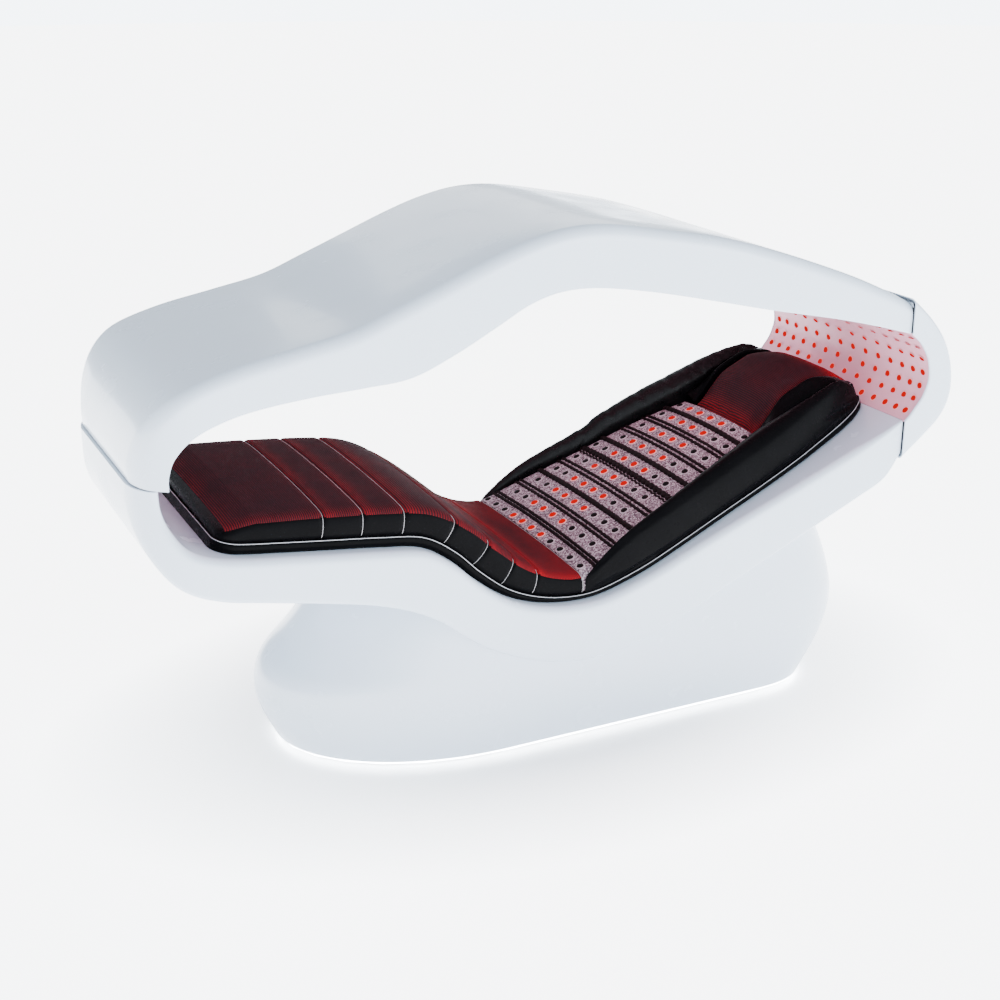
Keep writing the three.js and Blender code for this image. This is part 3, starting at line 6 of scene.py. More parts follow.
import bmesh
import bpy
import numpy as np
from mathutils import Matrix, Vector


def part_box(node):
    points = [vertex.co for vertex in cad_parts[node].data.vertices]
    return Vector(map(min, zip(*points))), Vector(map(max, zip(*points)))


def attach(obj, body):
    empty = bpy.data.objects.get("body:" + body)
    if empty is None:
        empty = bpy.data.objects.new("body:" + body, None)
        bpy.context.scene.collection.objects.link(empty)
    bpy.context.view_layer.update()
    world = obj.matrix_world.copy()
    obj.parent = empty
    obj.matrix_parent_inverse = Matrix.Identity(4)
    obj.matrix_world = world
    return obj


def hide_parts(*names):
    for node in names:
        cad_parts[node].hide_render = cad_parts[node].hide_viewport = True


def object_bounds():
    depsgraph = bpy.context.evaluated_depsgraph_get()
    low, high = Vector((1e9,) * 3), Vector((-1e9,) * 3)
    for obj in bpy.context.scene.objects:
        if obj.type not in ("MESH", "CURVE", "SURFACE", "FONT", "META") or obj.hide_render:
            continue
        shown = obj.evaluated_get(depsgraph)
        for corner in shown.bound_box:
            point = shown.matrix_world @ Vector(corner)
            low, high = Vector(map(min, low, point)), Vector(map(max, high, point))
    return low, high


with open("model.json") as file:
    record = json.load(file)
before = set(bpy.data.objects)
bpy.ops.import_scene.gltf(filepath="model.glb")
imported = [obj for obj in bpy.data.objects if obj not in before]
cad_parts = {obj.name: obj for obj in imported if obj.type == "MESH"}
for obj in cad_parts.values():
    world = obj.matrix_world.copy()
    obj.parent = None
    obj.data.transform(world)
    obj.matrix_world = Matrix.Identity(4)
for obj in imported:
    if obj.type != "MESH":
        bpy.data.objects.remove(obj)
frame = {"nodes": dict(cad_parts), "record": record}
cad_low, cad_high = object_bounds()

# Overall sizes
COUCH_LENGTH = 2.366
COUCH_HEIGHT = 1.434
RING_HALF = 0.375
CAP_HALF = 0.385
PEDESTAL_HALF = 0.360
MATTRESS_HALF = 0.338
SHELL_WALL = 0.004
CONTACT_GAP = 0.0003
SEAM_GAP = 0.0005
RING_EDGE = 0.034
TUB_RIMS = (0.024, 0.008)
TUB_RIM_PLACES = (0.36, 0.43)
TUB_KEEL = 0.014
TUB_BEVEL = 0.006
CAP_EDGE = 0.018
LIP_EDGE = 0.003
NOSE_CORNER = 0.150
LINER_RECESS = 0.003
LINER_WALL = 0.005
NOSE_PAD = 0.0024
HINGE_CORNER = 0.020

# Outlines: outer x, outer z, inner x, inner z, as shares of the length and of the height
CANOPY_SHARES = [
    (-0.496, 0.630, -0.467, 0.630), (-0.497, 0.662, -0.466, 0.656), (-0.490, 0.713, -0.459, 0.687),
    (-0.473, 0.759, -0.440, 0.718), (-0.444, 0.794, -0.406, 0.740), (-0.393, 0.821, -0.368, 0.752),
    (-0.330, 0.841, -0.315, 0.760), (-0.270, 0.861, -0.262, 0.764), (-0.220, 0.892, -0.211, 0.771),
    (-0.169, 0.925, -0.161, 0.803), (-0.118, 0.958, -0.114, 0.842), (-0.072, 0.983, -0.076, 0.874),
    (-0.025, 0.998, -0.038, 0.890), (0.025, 0.997, 0.008, 0.889), (0.093, 0.978, 0.076, 0.870),
    (0.169, 0.952, 0.156, 0.840), (0.243, 0.916, 0.232, 0.810), (0.330, 0.865, 0.321, 0.778),
    (0.380, 0.831, 0.376, 0.755), (0.431, 0.791, 0.431, 0.729),
]
TUB_SHARES = [
    (-0.4995, 0.629, -0.475, 0.629), (-0.4995, 0.586, -0.474, 0.593), (-0.495, 0.540, -0.467, 0.558),
    (-0.482, 0.492, -0.452, 0.524), (-0.461, 0.453, -0.429, 0.505), (-0.423, 0.425, -0.397, 0.494),
    (-0.376, 0.408, -0.355, 0.485), (-0.317, 0.388, -0.300, 0.474), (-0.258, 0.365, -0.245, 0.463),
    (-0.216, 0.340, -0.199, 0.450), (-0.182, 0.309, -0.165, 0.416), (-0.150, 0.266, -0.135, 0.370),
    (-0.114, 0.227, -0.099, 0.326), (-0.068, 0.193, -0.059, 0.299), (-0.021, 0.174, -0.013, 0.287),
    (0.025, 0.172, 0.030, 0.292), (0.076, 0.188, 0.085, 0.320), (0.131, 0.221, 0.139, 0.356),
    (0.194, 0.269, 0.203, 0.398), (0.262, 0.318, 0.266, 0.438), (0.321, 0.362, 0.325, 0.476),
    (0.372, 0.399, 0.372, 0.507), (0.410, 0.430, 0.406, 0.531), (0.431, 0.478, 0.431, 0.552),
]
CAP_SHARES = [
    (0.431, 0.799, 0.431, 0.728), (0.448, 0.775, 0.443, 0.711), (0.465, 0.748, 0.452, 0.692),
    (0.482, 0.713, 0.458, 0.673), (0.493, 0.676, 0.461, 0.654), (0.499, 0.638, 0.462, 0.633),
    (0.500, 0.603, 0.459, 0.614), (0.495, 0.570, 0.454, 0.596), (0.483, 0.540, 0.445, 0.577),
    (0.465, 0.514, 0.438, 0.563), (0.448, 0.492, 0.434, 0.557), (0.431, 0.471, 0.431, 0.553),
]
# Pedestal levels: height share, foot end share, head end share, share of the half width
PEDESTAL_SHARES = [
    (0.014, -0.325, 0.353, 0.972), (0.070, -0.341, 0.380, 0.992), (0.119, -0.346, 0.396, 1.000),
    (0.164, -0.339, 0.402, 0.995), (0.209, -0.308, 0.398, 0.986), (0.265, -0.276, 0.387, 0.964),
    (0.321, -0.244, 0.372, 0.933), (0.370, -0.220, 0.361, 0.894), (0.418, -0.199, 0.352, 0.850),
]
PEDESTAL_FOOT_ROUND_SHARE = -0.097
PEDESTAL_HEAD_ROUND_SHARE = 0.237
PEDESTAL_HEAD_POWER = 3

# Mattress, set out along the deck in shares of the length
FOOT_X = -0.425 * COUCH_LENGTH
SEAM_X = 0.002 * COUCH_LENGTH
MAT_HEAD_X = 0.285 * COUCH_LENGTH
BOLSTER_FOOT_X = 0.004 * COUCH_LENGTH
BOLSTER_HEAD_X = 0.424 * COUCH_LENGTH
WING_FOOT_X = 0.295 * COUCH_LENGTH
PILLOW_HEAD_X = 0.428 * COUCH_LENGTH
HEAD_X = 0.430 * COUCH_LENGTH
FOOT_CORNER = 0.060
PAD_HEIGHT = 0.100
BAND_HEIGHT = 0.029
# Rows of a place as a share of the length and a share of the half width or of a height there
HALF_SHARES = [
    (0.080, 1.000), (0.133, 0.980), (0.191, 0.941), (0.251, 0.896), (0.313, 0.840), (0.346, 0.796),
    (0.381, 0.746), (0.399, 0.709), (0.409, 0.682), (0.417, 0.650), (0.424, 0.612), (0.430, 0.540),
]
BAND_SHARES = [
    (-0.200, 1.00), (-0.080, 0.69), (0.000, 0.55), (0.060, 0.62), (0.250, 0.69), (0.320, 0.79), (0.390, 0.93),
]
PAD_SHARES = [
    (-0.425, 0.84), (-0.384, 0.88), (-0.319, 0.96), (-0.245, 1.00), (-0.185, 1.00), (-0.142, 1.05),
    (-0.110, 1.03), (-0.071, 0.91), (-0.036, 0.78), (0.000, 0.72), (0.050, 0.89), (0.100, 0.95),
    (0.150, 0.97), (0.200, 1.04), (0.250, 1.07), (0.285, 1.02),
]
PAD_FOOT_SHARES = [(-0.425, 0.46), (-0.420, 0.62), (-0.411, 0.76), (-0.399, 0.90), (-0.384, 1.00)]
BOLSTER_SHARES = [
    (0.004, 0.62), (0.015, 0.86), (0.044, 1.14), (0.085, 1.37), (0.140, 1.43), (0.195, 1.48),
    (0.260, 1.52), (0.370, 1.52), (0.400, 1.46), (0.415, 1.25), (0.424, 0.95),
]
FAR_LIFT_SHARES = [
    (0.0, 0), (0.155, 0), (0.184, 0.13), (0.226, 0.22), (0.273, 0.28), (0.340, 0.28), (0.368, 0.22),
    (0.390, 0.14), (0.405, 0.06), (0.415, 0), (0.430, 0),
]
PILLOW_SHARES = [
    (0.285, 0.94), (0.301, 1.10), (0.320, 1.37), (0.337, 1.58), (0.360, 1.65), (0.378, 1.65),
    (0.395, 1.50), (0.413, 1.24), (0.422, 0.95), (0.428, 0.70),
]
WING_SEAM_SHARES = [(0.295, 1.18), (0.365, 1.25), (0.400, 1.25), (0.410, 1.15), (0.424, 0.80)]
CHANNEL_SHARES = (-0.311, -0.267, -0.221, -0.178, -0.144, -0.107, -0.066)
PAD_CROWN = 0.008
MAT_CROWN = 0.014
MAT_HEAD_HALF = 0.211
MAT_TAPER_POWER = 1.35
BOLSTER_END_WIDTH = 0.008
PILLOW_HALF = 0.165
SOFT_GAP = 0.001


# Curves and outlines
def spline(points, count):
    """A smooth curve through the points, read at evenly spaced parameters."""
    p = np.array(points, float)
    t = np.linspace(0, len(p) - 1, count)
    i = np.minimum(t.astype(int), len(p) - 2)
    w = (t - i)[:, None]
    p0, p1, p2, p3 = (p[np.clip(i + k, 0, len(p) - 1)] for k in (-1, 0, 1, 2))
    v0, v1 = (p2 - p0) / 2, (p3 - p1) / 2
    return (2 * p1 - 2 * p2 + v0 + v1) * w**3 + (3 * p2 - 3 * p1 - 2 * v0 - v1) * w**2 + v0 * w + p1


def stations(shares, count):
    """Facing points of the outer and the inner outline, smoothed: two arrays of (x, z)."""
    rows = np.array(shares) * [COUCH_LENGTH, COUCH_HEIGHT, COUCH_LENGTH, COUCH_HEIGHT]
    return spline(rows[:, :2], count), spline(rows[:, 2:], count)


def smoothed(places, values, x):
    """A value read off a smooth curve through a short table."""
    table = spline(list(zip(places, values)), 40 * len(places))
    return np.interp(x, table[:, 0], table[:, 1])


def ring_half(x):
    """Half width of the ring in plan: straight, with rounded corners at the foot."""
    run = np.maximum(-COUCH_LENGTH / 2 + NOSE_CORNER - np.asarray(x, float), 0)
    return RING_HALF - NOSE_CORNER + np.sqrt(np.maximum(NOSE_CORNER**2 - run**2, 0))


DECK_START = -0.455 * COUCH_LENGTH
DECK_OUTER, DECK_INNER = stations(TUB_SHARES, 1200)
past_wall = DECK_INNER[:, 0] > DECK_START
DECK = DECK_INNER[past_wall]
DECK_RUN = np.concatenate([[0], np.cumsum(np.hypot(*np.diff(DECK, axis=0).T))])


def deck_slope(x):
    """The deck's slope, evened out over a short reach to either side."""
    reach = 0.025
    rise = np.interp(x + reach, *DECK.T) - np.interp(x - reach, *DECK.T)
    return rise / (2 * reach)


def on_deck(x, across, height):
    """Places a point of the mattress: height above the deck, offset across."""
    slope = deck_slope(x)
    length = np.hypot(1, slope)
    return np.stack(np.broadcast_arrays(
        x - slope / length * height, across, np.interp(x, *DECK.T) + height / length), -1)


def run_at(x):
    """Distance along the deck's surface at a place along the couch."""
    return np.interp(x, DECK[:, 0], DECK_RUN)


def valued(rows, x):
    """A smooth value along the couch, from rows of a share of the length and the value there."""
    places, values = zip(*rows)
    return smoothed(places, values, np.asarray(x, float) / COUCH_LENGTH)


def mattress_half(x):
    foot = np.clip((FOOT_X + FOOT_CORNER - np.asarray(x, float)) / FOOT_CORNER, 0, 1)
    return MATTRESS_HALF * valued(HALF_SHARES, x) - FOOT_CORNER * (1 - np.sqrt(1 - foot**2))


def seam_half(x):
    """Half width of the lamp mat, and of the pillow with its wings."""
    run = np.clip((np.asarray(x, float) - SEAM_X) / (MAT_HEAD_X - SEAM_X), 0, 1)
    foot_half = MATTRESS_HALF - BOLSTER_END_WIDTH
    line = foot_half + (MAT_HEAD_HALF - foot_half) * run**MAT_TAPER_POWER
    return np.minimum(line, mattress_half(x) - BOLSTER_END_WIDTH)


def band_top(x):
    return BAND_HEIGHT * valued(BAND_SHARES, x)


def pad_top(x):
    return PAD_HEIGHT * valued(PAD_SHARES, x) * valued(PAD_FOOT_SHARES, x)


def end_spaced(start, end, reach_start, reach_end, count, end_count=8):
    """Places along a piece, closer together where its ends round off."""
    turn = np.linspace(0, math.pi / 2, end_count, endpoint=False)
    first = start + reach_start * (1 - np.cos(turn))
    last = end - reach_end * (1 - np.cos(turn))[::-1]
    return np.concatenate([first, np.linspace(start + reach_start, end - reach_end, count), last])


# Meshes
def new_piece(name, mesh, body="couch"):
    piece = bpy.data.objects.new(name, mesh)
    bpy.context.scene.collection.objects.link(piece)
    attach(piece, body)
    return piece


def smooth(mesh, angle=40):
    mesh.shade_smooth()
    mesh.set_sharp_from_angle(angle=math.radians(angle))


def mesh_from(name, points, faces, angle=40):
    mesh = bpy.data.meshes.new(name)
    mesh.from_pydata([tuple(p) for p in points], [], faces)
    mesh.update()
    work = bmesh.new()
    work.from_mesh(mesh)
    bmesh.ops.recalc_face_normals(work, faces=work.faces)
    work.to_mesh(mesh)
    work.free()
    smooth(mesh, angle)
    return mesh


def grid_faces(rings, count, start=0):
    """The faces between closed rings of equally many points."""
    faces = []
    for r in range(rings - 1):
        for k in range(count):
            a = start + r * count + k
            b = start + r * count + (k + 1) % count
            faces.append((a, b, b + count, a + count))
    return faces


def loft(name, rings, angle=40):
    """A body through rings with equally many points, closed by a face at each end."""
    count = len(rings[0])
    last = (len(rings) - 1) * count
    faces = grid_faces(len(rings), count)
    faces.append(tuple(range(count))[::-1])
    faces.append(tuple(last + k for k in range(count)))
    return mesh_from(name, np.concatenate(rings), faces, angle)


def side_section(low, high, low_edge, high_edge, inset, steps=8, wall_steps=5):
    """Right half of a section as (level, distance in from the side), from low to high."""
    points = []
    if low_edge > 0:
        turn = np.linspace(0, math.pi / 2, steps + 1)
        points += [(low + low_edge * (1 - math.sin(t)), inset + low_edge * (1 - math.cos(t))) for t in turn[::-1]]
    else:
        points.append((low, inset))
    levels = np.linspace(low + low_edge, high - high_edge, wall_steps + 2)
    points += [(level, inset) for level in levels[1:-1]]
    turn = np.linspace(0, math.pi / 2, steps + 1)
    points += [(high - high_edge * (1 - math.sin(t)), inset + high_edge * (1 - math.cos(t))) for t in turn]
    return points


def band_ring(outer, inner, section, half_at):
    """The points of a section at one station, from the right side over to the left."""
    thick = np.hypot(*(outer - inner))
    right = []
    for level, inset in section(thick):
        x, z = inner + (outer - inner) * (level / thick)
        right.append((x, half_at(x) - inset, z))
    left = [(x, -y, z) for x, y, z in right[::-1]]
    return right + left


def crossed(ring, steps):
    """The same ring, with its long top edge split across so that it can curve."""
    middle = len(ring) // 2
    a, b = np.array(ring[middle - 1]), np.array(ring[middle])
    between = [tuple(a + (b - a) * k / steps) for k in range(1, steps)]
    return ring[:middle] + between + ring[middle:]


def bevelled(piece, width, segments, angle):
    bevel = piece.modifiers.new("edges", "BEVEL")
    bevel.width = width
    bevel.segments = segments
    bevel.limit_method = "ANGLE"
    bevel.angle_limit = math.radians(angle)
    return piece


def cut_by(piece, cutter):
    """Takes the cutter's shape out of the piece, and removes the cutter."""
    cut = piece.modifiers.new("cut", "BOOLEAN")
    cut.operation = "DIFFERENCE"
    cut.solver = "EXACT"
    cut.object = cutter
    apply_modifiers(piece)
    bpy.data.objects.remove(cutter)


def apply_modifiers(piece):
    graph = bpy.context.evaluated_depsgraph_get()
    mesh = bpy.data.meshes.new_from_object(piece.evaluated_get(graph))
    piece.modifiers.clear()
    piece.data = mesh


def box_object(name, low, high):
    corners = [(x, y, z) for x in (low[0], high[0]) for y in (low[1], high[1]) for z in (low[2], high[2])]
    faces = [(0, 1, 3, 2), (4, 6, 7, 5), (0, 4, 5, 1), (2, 3, 7, 6), (0, 2, 6, 4), (1, 5, 7, 3)]
    mesh = bpy.data.meshes.new(name)
    mesh.from_pydata(corners, [], faces)
    piece = bpy.data.objects.new(name, mesh)
    bpy.context.scene.collection.objects.link(piece)
    return piece


def tube(path, radius, sides=8):
    """A thin round tube along a path, with a parallel-carried section."""
    path = np.asarray(path, float)
    ahead = np.roll(path, -1, 0) - np.roll(path, 1, 0)
    ahead[0] = path[1] - path[0]
    ahead[-1] = path[-1] - path[-2]
    ahead /= np.linalg.norm(ahead, axis=1)[:, None]
    side = np.cross(ahead[0], (0, 0, 1))
    if np.linalg.norm(side) < 0.1:
        side = np.cross(ahead[0], (0, 1, 0))
    turn = np.linspace(0, 2 * math.pi, sides, endpoint=False)
    rings = []
    for place, onward in zip(path, ahead):
        side = side - onward * np.dot(side, onward)
        side /= np.linalg.norm(side)
        up = np.cross(side, onward)
        rings.append(place + radius * (np.outer(np.cos(turn), side) + np.outer(np.sin(turn), up)))
    return loft("tube", rings, angle=80)


def joined(name, meshes):
    """Several meshes as one piece."""
    work = bmesh.new()
    for mesh in meshes:
        work.from_mesh(mesh)
        bpy.data.meshes.remove(mesh)
    whole = bpy.data.meshes.new(name)
    work.to_mesh(whole)
    work.free()
    whole.shade_smooth()
    whole.set_sharp_from_angle(angle=math.radians(60))
    return new_piece(name, whole)


# Materials
def material(name, color, roughness, metallic=0.0):
    mat = bpy.data.materials.new(name)
    mat.use_nodes = True
    shader = mat.node_tree.nodes["Principled BSDF"]
    shader.inputs["Base Color"].default_value = (*color, 1)
    shader.inputs["Roughness"].default_value = roughness
    shader.inputs["Metallic"].default_value = metallic
    return mat, mat.node_tree, shader


def place_of(tree, scale=(1, 1, 1), source="Object"):
    coordinates = tree.nodes.new("ShaderNodeTexCoord")
    mapping = tree.nodes.new("ShaderNodeMapping")
    mapping.inputs["Scale"].default_value = scale
    tree.links.new(coordinates.outputs[source], mapping.inputs["Vector"])
    return mapping.outputs["Vector"]


def noise(tree, vector, scale, detail=3, roughness=0.5):
    made = tree.nodes.new("ShaderNodeTexNoise")
    for key, value in (("Scale", scale), ("Detail", detail), ("Roughness", roughness)):
        made.inputs[key].default_value = value
    tree.links.new(vector, made.inputs["Vector"])
    return made.outputs["Fac"]


def math_node(tree, operation, first, second=None):
    made = tree.nodes.new("ShaderNodeMath")
    made.operation = operation
    for slot, value in zip(made.inputs, (first, second)):
        if value is None:
            continue
        if isinstance(value, (int, float)):
            slot.default_value = value
        else:
            tree.links.new(value, slot)
    return made.outputs[0]


def ranged(tree, value, low, high, from_low=0.0, from_high=1.0):
    """Maps a value from one range to another, held at both ends."""
    made = tree.nodes.new("ShaderNodeMapRange")
    for key, limit in (("From Min", from_low), ("From Max", from_high), ("To Min", low), ("To Max", high)):
        made.inputs[key].default_value = limit
    tree.links.new(value, made.inputs["Value"])
    return made.outputs["Result"]


def mixed(tree, factor, first, second):
    made = tree.nodes.new("ShaderNodeMix")
    made.data_type = "RGBA"
    for key, value in (("Factor", factor), ("A", first), ("B", second)):
        slot = [s for s in made.inputs if s.name == key and s.enabled][0]
        if isinstance(value, tuple):
            slot.default_value = (*value, 1)
        else:
            tree.links.new(value, slot)
    return [s for s in made.outputs if s.enabled][0]


def bumped(tree, shader, heights):
    """Bumps one after another: each is a height, its strength and its depth in metres."""
    normal = None
    for height, strength, distance in heights:
        bump = tree.nodes.new("ShaderNodeBump")
        bump.inputs["Strength"].default_value = strength
        bump.inputs["Distance"].default_value = distance
        tree.links.new(height, bump.inputs["Height"])
        if normal is not None:
            tree.links.new(normal, bump.inputs["Normal"])
        normal = bump.outputs["Normal"]
    tree.links.new(normal, shader.inputs["Normal"])


def gloss_shell():
    """Moulded acrylic: a clear gloss over a faintly uneven pale body."""
    mat, tree, shader = material("gloss_shell", (0.52, 0.59, 0.68), 0.2)
    vector = place_of(tree)
    cloud = noise(tree, vector, 2.2, 2)
    tree.links.new(mixed(tree, cloud, (0.505, 0.58, 0.67), (0.53, 0.60, 0.69)), shader.inputs["Base Color"])
    tree.links.new(ranged(tree, noise(tree, vector, 9, 4), 0.16, 0.30, 0.3, 0.7), shader.inputs["Roughness"])
    bumped(tree, shader, [(noise(tree, vector, 26, 2), 0.05, 0.001), (noise(tree, vector, 420, 2), 0.03, 0.0002)])
    shader.inputs["Coat Weight"].default_value = 0.3
    shader.inputs["Coat Roughness"].default_value = 0.08
    return mat


def lamp_wall():
    """Satin panel whose pink colour is painted red glow from the lamps set into it."""
    mat, tree, shader = material("lamp_wall", (0.60, 0.30, 0.38), 0.4)
    vector = place_of(tree)
    tone = noise(tree, vector, 7, 3)
    tree.links.new(mixed(tree, tone, (0.62, 0.30, 0.38), (0.67, 0.36, 0.44)), shader.inputs["Base Color"])
    tree.links.new(ranged(tree, noise(tree, vector, 60, 3), 0.34, 0.48), shader.inputs["Roughness"])
    bumped(tree, shader, [(noise(tree, vector, 300, 2), 0.05, 0.0003)])
    shader.inputs["Specular IOR Level"].default_value = 0.3
    return mat


def lamp_glow():
    """A lit red lamp."""
    mat, tree, shader = material("red_lamp", (0.02, 0.0, 0.0), 0.4)
    tone = noise(tree, place_of(tree), 180, 2)
    tree.links.new(mixed(tree, tone, (1.0, 0.0, 0.004), (1.0, 0.006, 0.01)), shader.inputs["Emission Color"])
    shader.inputs["Emission Strength"].default_value = 0.75
    shader.inputs["Specular IOR Level"].default_value = 0.0
    return mat


def lamp_halo_glow():
    """Painted glow: the pale halo round a lit lamp, drawn as a thin glowing disc."""
    mat, tree, shader = material("lamp_halo_glow", (0.5, 0.2, 0.2), 0.5)
    tone = noise(tree, place_of(tree), 400, 2)
    tree.links.new(mixed(tree, tone, (1.0, 0.26, 0.26), (1.0, 0.40, 0.38)), shader.inputs["Emission Color"])
    shader.inputs["Emission Strength"].default_value = 0.55
    shader.inputs["Specular IOR Level"].default_value = 0.1
    return mat


def white_glow():
    mat, tree, shader = material("white_light_strip", (1, 1, 1), 0.4)
    tone = noise(tree, place_of(tree), 30, 2)
    tree.links.new(mixed(tree, tone, (0.86, 0.93, 1.0), (0.95, 0.98, 1.0)), shader.inputs["Emission Color"])
    shader.inputs["Emission Strength"].default_value = 22
    return mat


def leather(name, specular):
    """Soft black leather: pores and fine creases, duller in random patches."""
    dark, light = (0.0009, 0.0009, 0.0011), (0.0021, 0.0021, 0.0025)
    mat, tree, shader = material(name, dark, 0.42)
    vector = place_of(tree)
    pores = tree.nodes.new("ShaderNodeTexVoronoi")
    pores.feature = "DISTANCE_TO_EDGE"
    pores.inputs["Scale"].default_value = 620
    tree.links.new(vector, pores.inputs["Vector"])
    tone = noise(tree, vector, 14, 4)
    tree.links.new(mixed(tree, tone, dark, light), shader.inputs["Base Color"])
    tree.links.new(ranged(tree, noise(tree, vector, 38, 4), 0.24, 0.36, 0.3, 0.7), shader.inputs["Roughness"])
    edge = ranged(tree, pores.outputs["Distance"], 0, 1, 0, 0.12)
    bumped(tree, shader, [
        (noise(tree, vector, 46, 5, 0.62), 0.16, 0.002),
        (noise(tree, vector, 170, 3), 0.10, 0.0006),
        (edge, 0.2, 0.00025),
    ])
    shader.inputs["Specular IOR Level"].default_value = specular
    return mat


def deck_axes(tree):
    """Distance along the deck and across, from the piece's own coordinates."""
    separate = tree.nodes.new("ShaderNodeSeparateXYZ")
    tree.links.new(place_of(tree, source="UV"), separate.inputs[0])
    return separate.outputs["X"], separate.outputs["Y"]


def wave(tree, value, pitch, sharp=1.0):
    """A ridge from 0 to 1 that repeats at a pitch."""
    turned = math_node(tree, "MULTIPLY", value, 2 * math.pi / pitch)
    ridge = math_node(tree, "ADD", math_node(tree, "MULTIPLY", math_node(tree, "SINE", turned), 0.5), 0.5)
    return math_node(tree, "POWER", ridge, sharp) if sharp != 1.0 else ridge


LEATHER_SPECULAR = 0.022
GATHERED_SPECULAR = 0.10
RIB_PITCH = 0.0056
NET_PITCH = 0.0033


def red_mesh():
    """Red ribs across the couch behind a fine black net; the lit attribute says how much of them shows, painted
    sheen included.
    """
    mat, tree, shader = material("red_mesh", (0.12, 0.01, 0.012), 0.8)
    along, across = deck_axes(tree)
    vector = place_of(tree)
    shifted = math_node(tree, "ADD", along, math_node(tree, "MULTIPLY", noise(tree, vector, 18, 3), 0.0024))
    rib = wave(tree, shifted, RIB_PITCH, 1.6)
    slant = math_node(tree, "ADD", shifted, math_node(tree, "MULTIPLY", across, 0.55))
    net = math_node(tree, "MULTIPLY", wave(tree, slant, NET_PITCH), wave(tree, across, NET_PITCH * 1.2))
    # The lit attribute: amount of red, with painted sheen where the covers turn
    shown = tree.nodes.new("ShaderNodeAttribute")
    shown.attribute_name = "lit"
    worn = ranged(tree, noise(tree, vector, 9, 4), 0.6, 1.4, 0.25, 0.75)
    lit = math_node(tree, "MULTIPLY", shown.outputs["Fac"], worn)
    bare = math_node(tree, "MULTIPLY", math_node(tree, "POWER", shown.outputs["Fac"], 3), 0.25)
    cover = ranged(tree, net, 0.45, 1.0, 0.0, 0.6)
    redness = math_node(tree, "MULTIPLY", math_node(tree, "MULTIPLY", rib, lit), cover)
    redness = math_node(tree, "MINIMUM", math_node(tree, "ADD", redness, bare), 1.0)
    tree.links.new(mixed(tree, redness, (0.011, 0.0085, 0.0105), (0.42, 0.004, 0.009)), shader.inputs["Base Color"])
    bumped(tree, shader, [(rib, 0.5, 0.0012), (net, 0.3, 0.0005), (noise(tree, vector, 60, 3), 0.12, 0.001)])
    shader.inputs["Specular IOR Level"].default_value = 0.02
    return mat


def knit():
    """Speckled pinkish-grey knit of loops in rows."""
    mat, tree, shader = material("speckled_knit", (0.2, 0.15, 0.17), 0.9)
    along, across = deck_axes(tree)
    vector = place_of(tree)
    speck = noise(tree, vector, 210, 3, 0.7)
    cloud = noise(tree, vector, 90, 3)
    base = mixed(tree, ranged(tree, cloud, 0, 1, 0.35, 0.65), (0.11, 0.076, 0.092), (0.26, 0.20, 0.23))
    dark = ranged(tree, speck, 1, 0, 0.38, 0.44)
    light = ranged(tree, speck, 0, 1, 0.54, 0.62)
    toned = mixed(tree, dark, base, (0.010, 0.005, 0.008))
    tree.links.new(mixed(tree, light, toned, (0.58, 0.52, 0.55)), shader.inputs["Base Color"])
    loops = math_node(tree, "MULTIPLY", wave(tree, along, 0.0040), wave(tree, across, 0.0036))
    bumped(tree, shader, [(loops, 0.5, 0.0009), (speck, 0.5, 0.0008)])
    shader.inputs["Specular IOR Level"].default_value = 0.1
    return mat


def yarn(name, color, pitch=0.004):
    """Twisted yarn."""
    mat, tree, shader = material(name, color, 0.8)
    vector = place_of(tree)
    strands = noise(tree, vector, 700, 3, 0.7)
    shade = tuple(c * 0.5 for c in color)
    tree.links.new(mixed(tree, strands, shade, color), shader.inputs["Base Color"])
    separate = tree.nodes.new("ShaderNodeSeparateXYZ")
    tree.links.new(vector, separate.inputs[0])
    lay = math_node(tree, "ADD", separate.outputs["Y"], math_node(tree, "MULTIPLY", separate.outputs["Z"], 1.4))
    bumped(tree, shader, [(wave(tree, lay, pitch), 0.6, 0.0006), (strands, 0.4, 0.0004)])
    shader.inputs["Specular IOR Level"].default_value = 0.06
    return mat


def coated(name, color, roughness, metallic, grain, strength=0.1):
    """Metal or plastic with a fine even grain and a slightly uneven tone."""
    mat, tree, shader = material(name, color, roughness, metallic)
    vector = place_of(tree)
    tone = noise(tree, vector, grain / 12, 3)
    shade = tuple(c * 0.86 for c in color)
    tree.links.new(mixed(tree, tone, shade, color), shader.inputs["Base Color"])
    tree.links.new(ranged(tree, noise(tree, vector, grain / 3, 3), roughness * 0.85, min(roughness * 1.15, 1)),
                   shader.inputs["Roughness"])
    bumped(tree, shader, [(noise(tree, vector, grain, 3), strength, 0.0004)])
    return mat


def brushed(name, color, roughness, axis_scale):
    """Metal with fine lines one way."""
    mat, tree, shader = material(name, color, roughness, 1.0)
    vector = place_of(tree, axis_scale)
    lines = noise(tree, vector, 60, 4, 0.7)
    shade = tuple(c * 0.8 for c in color)
    tree.links.new(mixed(tree, lines, shade, color), shader.inputs["Base Color"])
    tree.links.new(ranged(tree, lines, roughness * 0.7, roughness * 1.3), shader.inputs["Roughness"])
    bumped(tree, shader, [(lines, 0.12, 0.0003)])
    return mat


